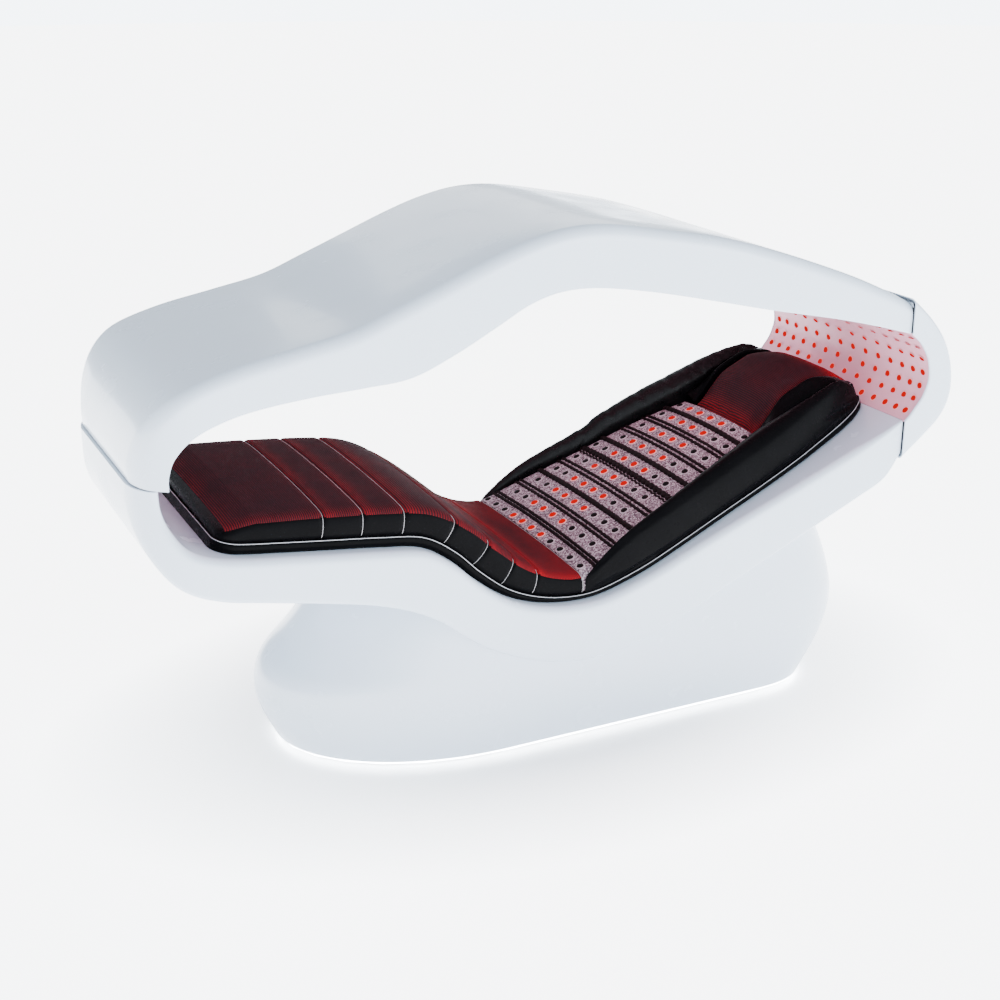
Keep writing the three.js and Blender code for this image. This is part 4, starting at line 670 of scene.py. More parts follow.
SHELL = gloss_shell()
# Lamp panels and the canopy's underside: pink base colour painted as red glow from their lamps
WALL = lamp_wall()
LAMP = lamp_glow()
# Painted glow: the halo discs round the lamps
LAMP_HALO = lamp_halo_glow()
LEATHER = leather("black_leather", LEATHER_SPECULAR)
GATHERED = leather("gathered_leather", GATHERED_SPECULAR)
PAD_MESH = red_mesh()
KNIT = knit()
BRAID = yarn("black_braid", (0.009, 0.004, 0.005))
EYELET = coated("eyelet_dark", (0.003, 0.002, 0.002), 0.6, 0, 400)
EYELET.node_tree.nodes["Principled BSDF"].inputs["Specular IOR Level"].default_value = 0.05
EYELET_RIM = coated("eyelet_rim", (0.42, 0.35, 0.38), 0.6, 0, 500)
PIPING = coated("grey_piping", (0.34, 0.34, 0.36), 0.5, 0, 500, 0.2)
THREAD = yarn("pale_thread", (0.50, 0.48, 0.49), 0.003)
SLOT_MATERIALS = {
    "gloss_shell": SHELL,
    "lamp_wall": WALL,
    "lamp_board": coated("lamp_board", (0.02, 0.12, 0.06), 0.5, 0, 260),
    "frame_steel": coated("grey_powder_coat", (0.23, 0.245, 0.26), 0.45, 0.3, 600, 0.25),
    "bright_steel": brushed("turned_steel", (0.55, 0.56, 0.58), 0.28, (4, 60, 4)),
    "glow_strip": white_glow(),
    "black_plastic": coated("black_plastic", (0.012, 0.012, 0.014), 0.45, 0, 420, 0.2),
    "driver_casing": brushed("bare_aluminium", (0.62, 0.64, 0.66), 0.36, (60, 4, 4)),
    "foot_rubber": coated("black_rubber", (0.014, 0.014, 0.014), 0.8, 0, 300, 0.3),
    "bush_bronze": brushed("sintered_bronze", (0.45, 0.28, 0.12), 0.4, (20, 20, 20)),
    "black_leather": LEATHER,
    "red_mesh": PAD_MESH,
    "speckled_knit": KNIT,
}
for part in frame["record"]["subparts"]:
    shown = frame["nodes"][part["node"]]
    shown.data.materials.clear()
    shown.data.materials.append(SLOT_MATERIALS[part["material_slot"]])
    smooth(shown.data, 30)


def finished(piece, mat, slot, *replaced):
    piece.data.materials.append(mat)
    if replaced:
        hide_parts(*replaced)
    return piece


# Canopy: an open-bottomed moulded shell
canopy_outer, canopy_inner = stations(CANOPY_SHARES, 150)
NOSE_BOTTOM = canopy_outer[0, 1]
SHUT_X = canopy_outer[-1, 0]
TUB_TOP = NOSE_BOTTOM - NOSE_PAD - 2 * CONTACT_GAP
HINGE_X = SHUT_X - SEAM_GAP - HINGE_CORNER


def shell_rings(outer, inner, section_outer, section_inner, half_at, across=6):
    outer_rings, inner_rings = [], []
    for o, i in zip(outer, inner):
        outer_rings.append(crossed(band_ring(o, i, section_outer, half_at), across))
        inner_rings.append(crossed(band_ring(o, i, section_inner, half_at), across))
    return outer_rings, inner_rings


def open_shell(name, outer_rings, inner_rings):
    """Outer and inner skins joined along both lower edges and both ends."""
    rings = [list(a) + list(b)[::-1] for a, b in zip(outer_rings, inner_rings)]
    count = len(rings[0])
    half = count // 2
    faces = grid_faces(len(rings), count)
    for base, turned in ((0, False), ((len(rings) - 1) * count, True)):
        for k in range(half - 1):
            quad = (base + k, base + k + 1, base + count - 2 - k, base + count - 1 - k)
            faces.append(quad[::-1] if turned else quad)
    return mesh_from(name, np.concatenate(rings), faces, 38)


def head_corner():
    """Height of the hinge, and how far past it the canopy's rounded corner leaves the straight top."""
    reach = 0.01
    rise = np.interp(HINGE_X + reach, *canopy_outer.T) - np.interp(HINGE_X - reach, *canopy_outer.T)
    slope = rise / (2 * reach)
    length = math.hypot(1, slope)
    return np.interp(HINGE_X, *canopy_outer.T) - HINGE_CORNER * length, -HINGE_CORNER * slope / length


def round_head_corner(points):
    """Rounds the canopy's upper head corner about the hinge."""
    centre_z, arc_start = head_corner()
    for p in points:
        if p[0] > HINGE_X + arc_start and p[2] > centre_z:
            dx, dz = p[0] - HINGE_X, p[2] - centre_z
            reach = math.hypot(dx, dz)
            if reach > HINGE_CORNER:
                p[0] = HINGE_X + dx * HINGE_CORNER / reach
                p[2] = centre_z + dz * HINGE_CORNER / reach
    return points


def canopy_piece():
    outer, inner = canopy_outer.copy(), canopy_inner.copy()
    outer[-1, 0] = inner[-1, 0] = SHUT_X - SEAM_GAP
    extra = np.linspace(0, 1, 8)[1:-1]
    step_o, step_i = outer[-1] - outer[-2], inner[-1] - inner[-2]
    outer = np.concatenate([outer[:-1], outer[-2] + extra[:, None] * step_o, outer[-1:]])
    inner = np.concatenate([inner[:-1], inner[-2] + extra[:, None] * step_i, inner[-1:]])
    skins = shell_rings(
        outer, inner,
        lambda thick: side_section(0, thick, LIP_EDGE, RING_EDGE, 0, wall_steps=8),
        lambda thick: side_section(LIP_EDGE / 2, thick - SHELL_WALL, LIP_EDGE / 2, RING_EDGE - SHELL_WALL,
                                   SHELL_WALL, wall_steps=8),
        ring_half)
    skins = [[round_head_corner([list(p) for p in ring]) for ring in rings] for rings in skins]
    piece = new_piece("canopy_moulding", open_shell("canopy_moulding", *skins), "canopy")
    return finished(piece, SHELL, "gloss_shell", "canopy_shell")


def panel_mesh(name, outer, inner, low, high, half_at, columns):
    """A thin panel that follows a band between two distances from its inner side."""
    rings = []
    for o, i in zip(outer, inner):
        thick = np.hypot(*(o - i))
        ring = []
        for level, order in ((low, 1), (high, -1)):
            x, z = i + (o - i) * (level / thick)
            row = [(x, half_at(x) * share, z) for share in np.linspace(-1, 1, columns)]
            ring += row[::order]
        rings.append(ring)
    return loft(name, rings, angle=38)


def canopy_underside():
    keep = (canopy_outer[:, 1] > NOSE_BOTTOM + SHELL_WALL + 0.002) & (canopy_inner[:, 0] < HINGE_X - 0.002)
    mesh = panel_mesh("canopy_underside", canopy_outer[keep], canopy_inner[keep], LINER_RECESS,
                      LINER_RECESS + LINER_WALL, lambda x: ring_half(x - SHELL_WALL) - SHELL_WALL - 0.0006, 12)
    return finished(new_piece("canopy_underside", mesh, "canopy"), WALL, "lamp_wall", "canopy_liner")


# Lamps: low domes, each on a thin disc of painted glow, set out in rows on a surface
def dome(work, centre, normal, radius, height, sides=12, steps=3):
    """Adds a flattened dome to a mesh in work."""
    normal = Vector(normal).normalized()
    side = normal.cross(Vector((0, 1, 0)))
    side.normalize()
    other = normal.cross(side)
    rows = []
    for s in range(steps):
        turn = math.pi / 2 * s / steps
        r, h = radius * math.cos(turn), height * math.sin(turn)
        rows.append([work.verts.new(Vector(centre) + normal * h + r * (side * math.cos(a) + other * math.sin(a)))
                     for a in np.linspace(0, 2 * math.pi, sides, endpoint=False)])
    tip = work.verts.new(Vector(centre) + normal * height)
    for a, b in zip(rows, rows[1:]):
        for k in range(sides):
            work.faces.new((a[k], a[(k + 1) % sides], b[(k + 1) % sides], b[k]))
    for k in range(sides):
        work.faces.new((rows[-1][k], rows[-1][(k + 1) % sides], tip))
    work.faces.new(rows[0][::-1])


def domes(name, places, radius, height, body, mat, slot, sides=12, steps=3):
    work = bmesh.new()
    for centre, normal in places:
        dome(work, centre, normal, radius, height, sides, steps)
    bmesh.ops.recalc_face_normals(work, faces=work.faces)
    mesh = bpy.data.meshes.new(name)
    work.to_mesh(mesh)
    work.free()
    smooth(mesh, 50)
    return finished(new_piece(name, mesh, body), mat, slot)


def lamp_columns(count, reach):
    """Offsets across, further apart in the middle than at the sides."""
    t = np.linspace(-1, 1, count)
    return reach * (t - 0.12 * t**3) / 0.88


def along_band(outer, inner, distance, level):
    """Place and direction (towards the hollow) at a distance along a band's inner side."""
    run = np.concatenate([[0], np.cumsum(np.hypot(*np.diff(inner, axis=0).T))])
    k = np.interp(distance, run, np.arange(len(run)))
    i = int(min(k, len(run) - 2))
    w = k - i
    o = outer[i] * (1 - w) + outer[i + 1] * w
    n = inner[i] * (1 - w) + inner[i + 1] * w
    away = (n - o) / np.hypot(*(n - o))
    place = n - away * level
    return place, away, run[-1]


LIP_START = 0.0152


def cap_lip():
    """Fills the notch over the canopy's rounded head corner, as far as the canopy's top swings past it."""
    centre_z = head_corner()[0]
    radius = HINGE_CORNER + SEAM_GAP
    places = np.linspace(HINGE_X + LIP_START, SHUT_X, 14)
    upper = [(x, float(np.interp(x, *canopy_outer.T))) for x in places]
    lower = [(x, centre_z + math.sqrt(max(radius**2 - (x - HINGE_X)**2, 0))) for x in places[::-1]]
    outline = upper + lower
    rings = []
    steps = np.linspace(0, math.pi / 2, 9)
    for side in (-1, 1):
        turns = steps if side < 0 else steps[::-1]
        for t in turns:
            drop = RING_EDGE * (1 - math.sin(t))
            y = side * (RING_HALF - RING_EDGE * (1 - math.cos(t)))
            rings.append([(x, y, max(min(z, zu - drop), zl)) for (x, z), zu, zl in zip(
                outline, [p[1] for p in upper] + [p[1] for p in upper[::-1]],
                [p[1] for p in lower[::-1]] + [p[1] for p in lower])])
    piece = new_piece("head_cap_lip", loft("head_cap_lip", rings, angle=38))
    return finished(piece, SHELL, "gloss_shell")


CAP_LAMP_PITCH = 0.040
CAP_LAMP_REACH = 0.352
LAMP_RADIUS = 0.0102
PANEL_RECESS = 0.0015


def cap_pieces():
    outer, inner = stations(CAP_SHARES, 90)
    outer[0, 0] = inner[0, 0] = outer[-1, 0] = inner[-1, 0] = SHUT_X
    skins = shell_rings(
        outer, inner,
        lambda thick: side_section(0, thick, LIP_EDGE * 2, CAP_EDGE, 0),
        lambda thick: side_section(LIP_EDGE, thick - SHELL_WALL, LIP_EDGE, CAP_EDGE - SHELL_WALL, SHELL_WALL),
        lambda x: CAP_HALF)
    casing = new_piece("head_cap_casing", open_shell("head_cap_casing", *skins))
    finished(casing, SHELL, "gloss_shell", "head_cap_shell")
    keep = slice(1, -1)
    half = CAP_HALF - SHELL_WALL - CONTACT_GAP
    wall = new_piece("head_cap_lamp_wall", panel_mesh(
        "head_cap_lamp_wall", outer[keep], inner[keep], PANEL_RECESS, LINER_WALL, lambda x: half, 16))
    finished(wall, WALL, "lamp_wall", "head_lamp_panel")
    places = []
    total = along_band(outer, inner, 0, 0)[2]
    rows = int((total - 0.02) / CAP_LAMP_PITCH)
    start = (total - (rows - 1) * CAP_LAMP_PITCH) / 2
    for row in range(rows):
        (x, z), away, _ = along_band(outer, inner, start + row * CAP_LAMP_PITCH, PANEL_RECESS - 0.0002)
        places += [((x, y, z), (away[0], 0, away[1])) for y in lamp_columns(14, CAP_LAMP_REACH)]
    # Thin discs of painted glow under the lamps, showing as a halo round each
    domes("head_cap_lamp_halos", places, LAMP_RADIUS * 1.2, 0.0007, "couch", LAMP_HALO, "lamp_wall", steps=2)
    domes("head_cap_lamps", places, LAMP_RADIUS, 0.0022, "couch", LAMP, "lamp_wall")


UNDER_LAMP_PITCH = 0.068
UNDER_LAMP_REACH = 0.29


def underside_lamps():
    keep = canopy_inner[:, 0] < HINGE_X - 0.03
    outer, inner = canopy_outer[keep], canopy_inner[keep]
    total = along_band(outer, inner, 0, 0)[2]
    count = int((total - 0.12) / UNDER_LAMP_PITCH)
    places = []
    for row in range(count):
        (x, z), away, _ = along_band(outer, inner, 0.09 + row * UNDER_LAMP_PITCH, LINER_RECESS - 0.0002)
        places += [((x, y, z), (away[0], 0, away[1])) for y in lamp_columns(12, UNDER_LAMP_REACH)]
    # Thin discs of painted glow under the lamps, showing as a halo round each
    domes("canopy_lamp_halos", places, LAMP_RADIUS * 1.2, 0.0006, "canopy", LAMP_HALO, "lamp_wall", steps=2)
    domes("canopy_lamps", places, LAMP_RADIUS, 0.0020, "canopy", LAMP, "lamp_wall", sides=10)


# Tub: a closed S-shaped moulding with rounded rims, open inside at the head
def tub_piece():
    outer, inner = stations(TUB_SHARES, 190)
    below = outer[:, 1] < TUB_TOP
    first = np.argmax(below)
    outer, inner = outer[first:], inner[first:]
    outer[0, 1] = inner[0, 1] = TUB_TOP

    def ring(o, i, wall):
        thick = np.hypot(*(o - i))
        rim = np.interp(i[0] / COUCH_LENGTH, TUB_RIM_PLACES, TUB_RIMS)
        section = side_section(wall, thick - wall, rim - wall, TUB_KEEL - wall, wall)
        right = []
        for level, inset in section:
            x, z = i + (o - i) * (level / thick)
            right.append((x, ring_half(x) - inset, z))
        left = [(x, -y, z) for x, y, z in right[::-1]]
        top = [tuple(np.array(left[-1]) + (np.array(right[0]) - left[-1]) * k / 8) for k in range(1, 8)]
        bottom = [tuple(np.array(right[-1]) + (np.array(left[0]) - right[-1]) * k / 8) for k in range(1, 8)]
        return right + bottom + left + top

    skins = [ring(o, i, 0) for o, i in zip(outer, inner)]
    hollow = [ring(o, i, SHELL_WALL) for o, i in zip(outer[3:], inner[3:])]
    count = len(skins[0])
    points = np.concatenate(skins + hollow)
    faces = grid_faces(len(skins), count)
    base = len(skins) * count
    faces += [face[::-1] for face in grid_faces(len(hollow), count, start=base)]
    faces.append(tuple(range(count))[::-1])
    faces.append(tuple(base + k for k in range(count)))
    end, inner_end = (len(skins) - 1) * count, base + (len(hollow) - 1) * count
    faces += [(end + k, end + (k + 1) % count, inner_end + (k + 1) % count, inner_end + k) for k in range(count)]
    mesh = bpy.data.meshes.new("tub_moulding")
    mesh.from_pydata([tuple(p) for p in points], [], faces)
    smooth(mesh, 38)
    piece = bevelled(new_piece("tub_moulding", mesh), TUB_BEVEL, 3, 60)
    return finished(piece, SHELL, "gloss_shell", "tub_shell", "deck_panel")


# Pedestal: smooth levels, cut off along the tub's keel, with openings at the back
def pedestal_levels():
    return np.array(PEDESTAL_SHARES) * [COUCH_HEIGHT, COUCH_LENGTH, COUCH_LENGTH, PEDESTAL_HALF]


def keel_height(x):
    order = np.argsort(DECK_OUTER[:, 0])
    return np.interp(x, DECK_OUTER[order, 0], DECK_OUTER[order, 1]) - CONTACT_GAP * 3


def pedestal_point(level, turn, side, inset):
    """A point of a level's outline: turn runs from -1 at the foot to 1 at the head."""
    z, foot, head, half = level
    foot_round = PEDESTAL_FOOT_ROUND_SHARE * COUCH_LENGTH
    head_round = PEDESTAL_HEAD_ROUND_SHARE * COUCH_LENGTH
    half -= inset
    if turn < -0.25:
        angle = (-turn - 0.25) / 0.75 * math.pi / 2
        x = foot_round + (foot + inset - foot_round) * math.sin(angle)
        y = half * math.cos(angle)
    elif turn > 0.25:
        angle = (turn - 0.25) / 0.75 * math.pi / 2
        power = 2 / PEDESTAL_HEAD_POWER
        x = head_round + (head - inset - head_round) * math.sin(angle) ** power
        y = half * math.cos(angle) ** power
    else:
        x = foot_round + (head_round - foot_round) * (turn + 0.25) / 0.5
        y = half
    return x, side * y, z


def pedestal_piece():
    curve = spline(pedestal_levels(), 400)
    turns = np.concatenate([np.linspace(-1, -0.25, 26), np.linspace(-0.25, 0.25, 18)[1:-1],
                            np.linspace(0.25, 1, 26)])
    loop = [(t, 1) for t in turns] + [(t, -1) for t in turns[::-1][1:-1]]
    rows = 34

    def column(turn, side, inset):
        points = np.array([pedestal_point(level, turn, side, inset) for level in curve])
        over = np.nonzero(points[:, 2] > keel_height(points[:, 0]) - inset)[0]
        top = over[0] if len(over) else len(points) - 1
        share = np.linspace(0, 1, rows) * top
        k = share.astype(int)
        below, above = (points[np.minimum(n, len(points) - 1)] for n in (k, k + 1))
        return below + (share - k)[:, None] * (above - below)

    skins = []
    for inset in (0, SHELL_WALL):
        columns = np.array([column(t, s, inset) for t, s in loop])
        skins.append(columns.transpose(1, 0, 2))
    count = len(loop)
    points = np.concatenate([skins[0].reshape(-1, 3), skins[1].reshape(-1, 3)])
    base = rows * count
    faces = grid_faces(rows, count) + [f[::-1] for f in grid_faces(rows, count, start=base)]
    for k in range(count):
        n = (k + 1) % count
        faces.append((k, base + k, base + n, n))
        top = (rows - 1) * count
        faces.append((top + k, top + n, base + top + n, base + top + k))
    mesh = mesh_from("pedestal_moulding", points, faces, 38)
    piece = new_piece("pedestal_moulding", mesh)
    for name in ("vent_grille_1", "vent_grille_2", "inlet_panel"):
        low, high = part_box(name)
        gap = CONTACT_GAP
        cutter = box_object("cutter", (low.x - gap, low.y - 0.03, low.z - gap),
                            (high.x + gap, high.y + 0.03, high.z + gap))
        cut_by(piece, cutter)
    smooth(piece.data, 38)
    return finished(piece, SHELL, "gloss_shell", "pedestal_shell")


canopy_piece()
canopy_underside()
cap_pieces()
cap_lip()
underside_lamps()
tub_piece()
pedestal_piece()


# Cushions: sections along the deck, with coordinates along and across for the fabrics
def cushion_mesh(name, places, ring_at):
    """A closed cushion through rings of (across, height), one at each place along the deck."""
    sections = [(x, np.array(ring_at(x))) for x in places]
    return loft(name, [on_deck(x, section[:, 0], section[:, 1]) for x, section in sections], angle=60)


def mirrored_ring(right, steps):
    """A smooth closed section from the control points of its right half, lower edge to middle."""
    curve = spline(right, steps)
    left = curve[::-1][1:] * [-1, 1]
    return np.concatenate([curve, left])


def paired(right):
    """A closed section from the curve of its right half."""
    return np.concatenate([right, right[::-1] * [-1, 1]])


def base_ring(x):
    half, top = float(mattress_half(x)), float(band_top(x))
    return paired(spline([(half - 0.010, -SOFT_GAP / 2), (half - 0.002, top * 0.25), (half + 0.001, top * 0.55),
                          (half - 0.001, top * 0.85), (half - 0.006, top - 0.001)], 14))


def mattress_places():
    return end_spaced(FOOT_X + 0.0002, HEAD_X - 0.001, FOOT_CORNER, 0.12, 150, 26)


def mattress_band():
    mesh = cushion_mesh("mattress_band", mattress_places(), base_ring)
    return finished(new_piece("mattress_band", mesh), LEATHER, "black_leather", "mattress_base")


def cushion_low(x):
    return float(band_top(x)) + 0.0005


def pad_section(half, low, top, crown, edge=1.0):
    """Control points of a crowned cushion's right half."""
    rise = top - low
    return [
        (half - 0.008, low), (half - 0.001, low + rise * 0.18), (half + 0.001, low + rise * 0.42),
        (half - 0.001, low + rise * 0.66), (half - 0.008 * edge, low + rise * 0.86),
        (half - 0.024 * edge, low + rise * 0.975), (half - 0.055 * edge, top + crown * 0.2),
        (half * 0.72, top + crown * 0.48), (half * 0.5, top + crown * 0.76), (half * 0.25, top + crown * 0.94),
        (0, top + crown),
    ]


def deck_places(points):
    """Where points of the mattress stand on the deck: along, across and height."""
    along = points[:, 0].copy()
    for _ in range(8):
        slope = deck_slope(along)
        ahead, up = points[:, 0] - along, points[:, 2] - np.interp(along, *DECK.T)
        along = along + (ahead + up * slope) / (1 + slope**2)
    return along, points[:, 1], (up - ahead * slope) / np.hypot(1, slope)


def with_deck_coordinates(piece, lit_at=None):
    """Gives a cover its place on the deck as coordinates, and how much of the red ribs shows, painted sheen
    included.
    """
    mesh = piece.data
    along, across, _ = deck_places(vertex_places(mesh))
    layer = mesh.uv_layers.get("deck") or mesh.uv_layers.new(name="deck")
    index = np.zeros(len(mesh.loops), np.int32)
    mesh.loops.foreach_get("vertex_index", index)
    layer.data.foreach_set("uv", np.stack([run_at(along), across], -1).astype(np.float32)[index].ravel())
    if lit_at is not None:
        shown = mesh.attributes.new("lit", "FLOAT", "POINT")
        shown.data.foreach_set("value", lit_at(along, across).astype(np.float32))
    return piece


def vertex_places(mesh):
    points = np.zeros(len(mesh.vertices) * 3)
    mesh.vertices.foreach_get("co", points)
    return points.reshape(-1, 3)


CLOTH_VOXEL = 0.005
CLOTH_FRAMES = 20
CLOTH_PRESSURE = 4.0
CLOTH_CAP = 0.006
CLOTH_SHRINK = 0.0015
HELD_HEIGHT = 0.012


def stuffed(piece):
    """Blows a cover up as cloth, held along its foot, keeps every move under a cap and smooths it once."""
    remesh = piece.modifiers.new("even_cloth", "REMESH")
    remesh.mode = "VOXEL"
    remesh.voxel_size = CLOTH_VOXEL
    apply_modifiers(piece)
    mesh = piece.data
    start = vertex_places(mesh)
    normals = np.zeros(len(mesh.vertices) * 3)
    mesh.vertices.foreach_get("normal", normals)
    mesh.vertices.foreach_set("co", (start - normals.reshape(-1, 3) * CLOTH_SHRINK).ravel())
    along, _, height = deck_places(start)
    held = piece.vertex_groups.new(name="held")
    low = height < band_top(along) + HELD_HEIGHT
    held.add(np.nonzero(low)[0].tolist(), 1.0, "REPLACE")
    cloth = piece.modifiers.new("stuffing", "CLOTH")
    cloth.settings.use_pressure = True
    cloth.settings.uniform_pressure_force = CLOTH_PRESSURE
    cloth.settings.effector_weights.gravity = 0
    cloth.settings.vertex_group_mass = "held"
    cloth.settings.quality = 4
    cloth.collision_settings.use_collision = False
    cloth.point_cache.frame_start = 1
    cloth.point_cache.frame_end = CLOTH_FRAMES
    for frame_number in range(1, CLOTH_FRAMES + 1):
        bpy.context.scene.frame_set(frame_number)
    graph = bpy.context.evaluated_depsgraph_get()
    ended = vertex_places(piece.evaluated_get(graph).data)
    piece.modifiers.clear()
    piece.vertex_groups.clear()
    bpy.context.scene.frame_set(1)
    move = ended - start
    reach = np.linalg.norm(move, axis=1, keepdims=True)
    move *= np.minimum(1, CLOTH_CAP / np.maximum(reach, 1e-9))
    mesh.vertices.foreach_set("co", (start + move).ravel())
    rounding = piece.modifiers.new("rounding", "SUBSURF")
    rounding.levels = rounding.render_levels = 1
    apply_modifiers(piece)
    smooth(piece.data, 70)
    return piece


channels = np.array(CHANNEL_SHARES) * COUCH_LENGTH
CHANNEL_DEPTH = 0.003
CHANNEL_REACH = 0.012
PAD_START = FOOT_X + 0.004
PAD_END = SEAM_X - 0.0005
LEATHER_SIDE_SHARE = 0.86
LEATHER_FOOT = 0.018


def channel_dip(x):
    """1 in the middle of a sewn channel, falling to 0 beside it."""
    near = np.min(np.abs(np.concatenate([channels, [SEAM_X]]) - x))
    return math.exp(-(near / (CHANNEL_REACH * 0.42)) ** 2)


def pad_ring(x):
    dip = channel_dip(x)
    low = cushion_low(x)
    top = float(pad_top(x)) + 0.002 * (1 - dip) - CHANNEL_DEPTH * dip
    half = float(mattress_half(max(x, FOOT_X + 0.0005))) - 0.004 * dip
    share = float(valued(PAD_FOOT_SHARES, x))
    return mirrored_ring(pad_section(half, low, top, PAD_CROWN * share), 46)


def pad_places():
    marks = [PAD_START, PAD_START + 0.1, *channels, PAD_END]
    places = []
    for a, b in zip(marks, marks[1:]):
        share = (1 - np.cos(np.linspace(0, math.pi, 26))) / 2
        places += list(a + (b - a) * share)
    return np.unique(np.round(places, 6))


def pad_lit(x, across):
    """How much of the red shows: more towards the seat, less in the middle just before the seam, and more by the
    seams, at the foot and at the edges, where the cover turns, as painted sheen.
    """
    share = x / COUCH_LENGTH
    seat = np.interp(share, (-0.425, -0.20, -0.15, -0.11, -0.075, 0.0), (0.10, 0.12, 0.15, 0.24, 0.50, 0.56))
    middle = 1 - 0.45 * np.exp(-((share + 0.03) / 0.022)**2 - (across / 0.2)**2)
    edge = 0.22 * np.exp(-(np.maximum(mattress_half(x) - 0.012 - np.abs(across), 0) / 0.022)**1.5)
    foot = 0.15 * np.exp(-((x - PAD_START - LEATHER_FOOT) / 0.03)**2)
    seam = 0.22 * sum(np.exp(-((x - place - 0.012) / 0.02)**2) for place in channels)
    return np.clip(seat * middle + edge + foot + seam, 0, 1)


def leg_pad():
    mesh = cushion_mesh("leg_pad_cover", pad_places(), pad_ring)
    piece = new_piece("leg_pad_cover", mesh)
    finished(piece, PAD_MESH, "red_mesh", "leg_pad")
    piece.data.materials.append(LEATHER)
    centres = np.array([face.center for face in piece.data.polygons])
    along, across, height = deck_places(centres)
    low = band_top(along)
    side = (height < low + (pad_top(along) - low) * LEATHER_SIDE_SHARE) | (along < PAD_START + LEATHER_FOOT)
    for face, is_side in zip(piece.data.polygons, side):
        face.material_index = int(is_side)
    # Red amount with painted sheen at the edges, past the seams and at the foot
    with_deck_coordinates(piece, pad_lit)
    return piece


def mat_ring(x):
    half = float(seam_half(x)) - SOFT_GAP
    seam = math.exp(-((x - SEAM_X) / 0.010) ** 2)
    return mirrored_ring(pad_section(half, cushion_low(x), float(pad_top(x)) - 0.003 * seam, MAT_CROWN, 0.5), 46)


def lamp_mat():
    places = np.linspace(SEAM_X + 0.0005, MAT_HEAD_X + 0.004, 120)
    mesh = cushion_mesh("lamp_mat_cover", places, mat_ring)
    piece = finished(new_piece("lamp_mat_cover", mesh), KNIT, "speckled_knit", "lamp_mat")
    with_deck_coordinates(piece)
    return piece


BOLSTER_SECTION_SHARES = [
    (0.00, 0.00), (-0.01, 0.40), (0.00, 0.75), (0.08, 0.92), (0.28, 1.00), (0.55, 1.02), (0.78, 0.93),
    (0.93, 0.68), (1.00, 0.38), (1.00, 0.15), (0.98, 0.00),
]
END_REACH = 0.03
GATHER_DEPTH = 0.0048
GATHER_PITCHES = (0.031, 0.047, 0.083)


def gathers(x, share):
    """Folds where the leather is drawn in along its inner edge, deepest on the upper part."""
    folds = sum(math.sin(2 * math.pi * x / pitch + k * 1.9 + 3 * share) for k, pitch in enumerate(GATHER_PITCHES))
    fade = math.exp(-((share - 0.22) / 0.2)**2) * float(np.interp(x / COUCH_LENGTH, (0.08, 0.16, 0.40), (0, 1, 0.6)))
    return GATHER_DEPTH * fade * folds / len(GATHER_PITCHES)


def bolster_ring(x, side):
    near, far, low = float(seam_half(x)) + SOFT_GAP / 2, float(mattress_half(x)), cushion_low(x)
    lift = float(valued(FAR_LIFT_SHARES, x)) if side > 0 else 0.0
    rise = PAD_HEIGHT * (float(valued(BOLSTER_SHARES, x)) + lift) - low
    depth = 1.0 if side > 0 else 0.2
    curve = spline([(near + (far - near) * a, low + rise * b) for a, b in BOLSTER_SECTION_SHARES], 48)
    shares = np.linspace(-0.2, 1, len(curve))
    curve[:, 1] += [depth * gathers(x, share) for share in shares]
    return curve * [side, 1]


def bolster(side, label):
    places = end_spaced(BOLSTER_FOOT_X, BOLSTER_HEAD_X, END_REACH, END_REACH, 240)
    mesh = cushion_mesh(f"bolster_{label}_cover", places, lambda x: bolster_ring(x, side))
    cover = GATHERED if side > 0 else LEATHER
    piece = finished(new_piece(f"bolster_{label}_cover", mesh), cover, "black_leather", f"bolster_{label}")
    stuffed(piece)
    return piece


def pillow_ring(x):
    low, top = cushion_low(x), PAD_HEIGHT * float(valued(PILLOW_SHARES, x))
    return mirrored_ring(pad_section(PILLOW_HALF, low, top, MAT_CROWN, 0.5), 46)


def pillow_lit(x, across):
    """Painted sheen: brighter red by the mat, at the near foot corner, over the head edge and along the sides."""
    share = x / COUCH_LENGTH
    foot = 0.35 * np.exp(-((share - 0.292) / 0.012)**2)
    head = 0.9 * np.exp(-((np.maximum(0.425 - share, 0)) / 0.016)**2)
    edge = 0.4 * np.exp(-((PILLOW_HALF - np.abs(across)) / 0.02)**2)
    return np.clip(0.12 + foot + head + edge, 0, 1)


def pillow():
    places = end_spaced(MAT_HEAD_X + 0.0045, PILLOW_HEAD_X, 0.02, 0.02, 90)
    mesh = cushion_mesh("pillow_cover", places, pillow_ring)
    piece = finished(new_piece("pillow_cover", mesh), PAD_MESH, "red_mesh", "pillow")
    stuffed(piece)
    # Red amount with painted sheen at the foot, head edge and sides
    with_deck_coordinates(piece, pillow_lit)
    return piece


def wing_ring(x, side):
    near, far, low = PILLOW_HALF + SOFT_GAP, float(seam_half(x)) - SOFT_GAP / 2, cushion_low(x)
    top, seam = (PAD_HEIGHT * float(valued(rows, x)) for rows in (PILLOW_SHARES, WING_SEAM_SHARES))
    span, drop = far - near, top - seam
    curve = spline([
        (near, low), (near, low + (top - low) * 0.6), (near + span * 0.02, top - 0.004), (near + span * 0.2, top),
        (near + span * 0.5, top - drop * 0.42 + 0.004), (near + span * 0.8, top - drop * 0.78 + 0.004),
        (near + span * 0.97, seam), (far, seam - 0.006), (far, low + (seam - low) * 0.4), (far, low),
    ], 40)
    return curve * [side, 1]


def wing(side, label):
    places = end_spaced(WING_FOOT_X, BOLSTER_HEAD_X, END_REACH, END_REACH, 60)
    mesh = cushion_mesh(f"wing_{label}_cover", places, lambda x: wing_ring(x, side))
    piece = finished(new_piece(f"wing_{label}_cover", mesh), LEATHER, "black_leather", f"pillow_wing_{label}")
    return piece


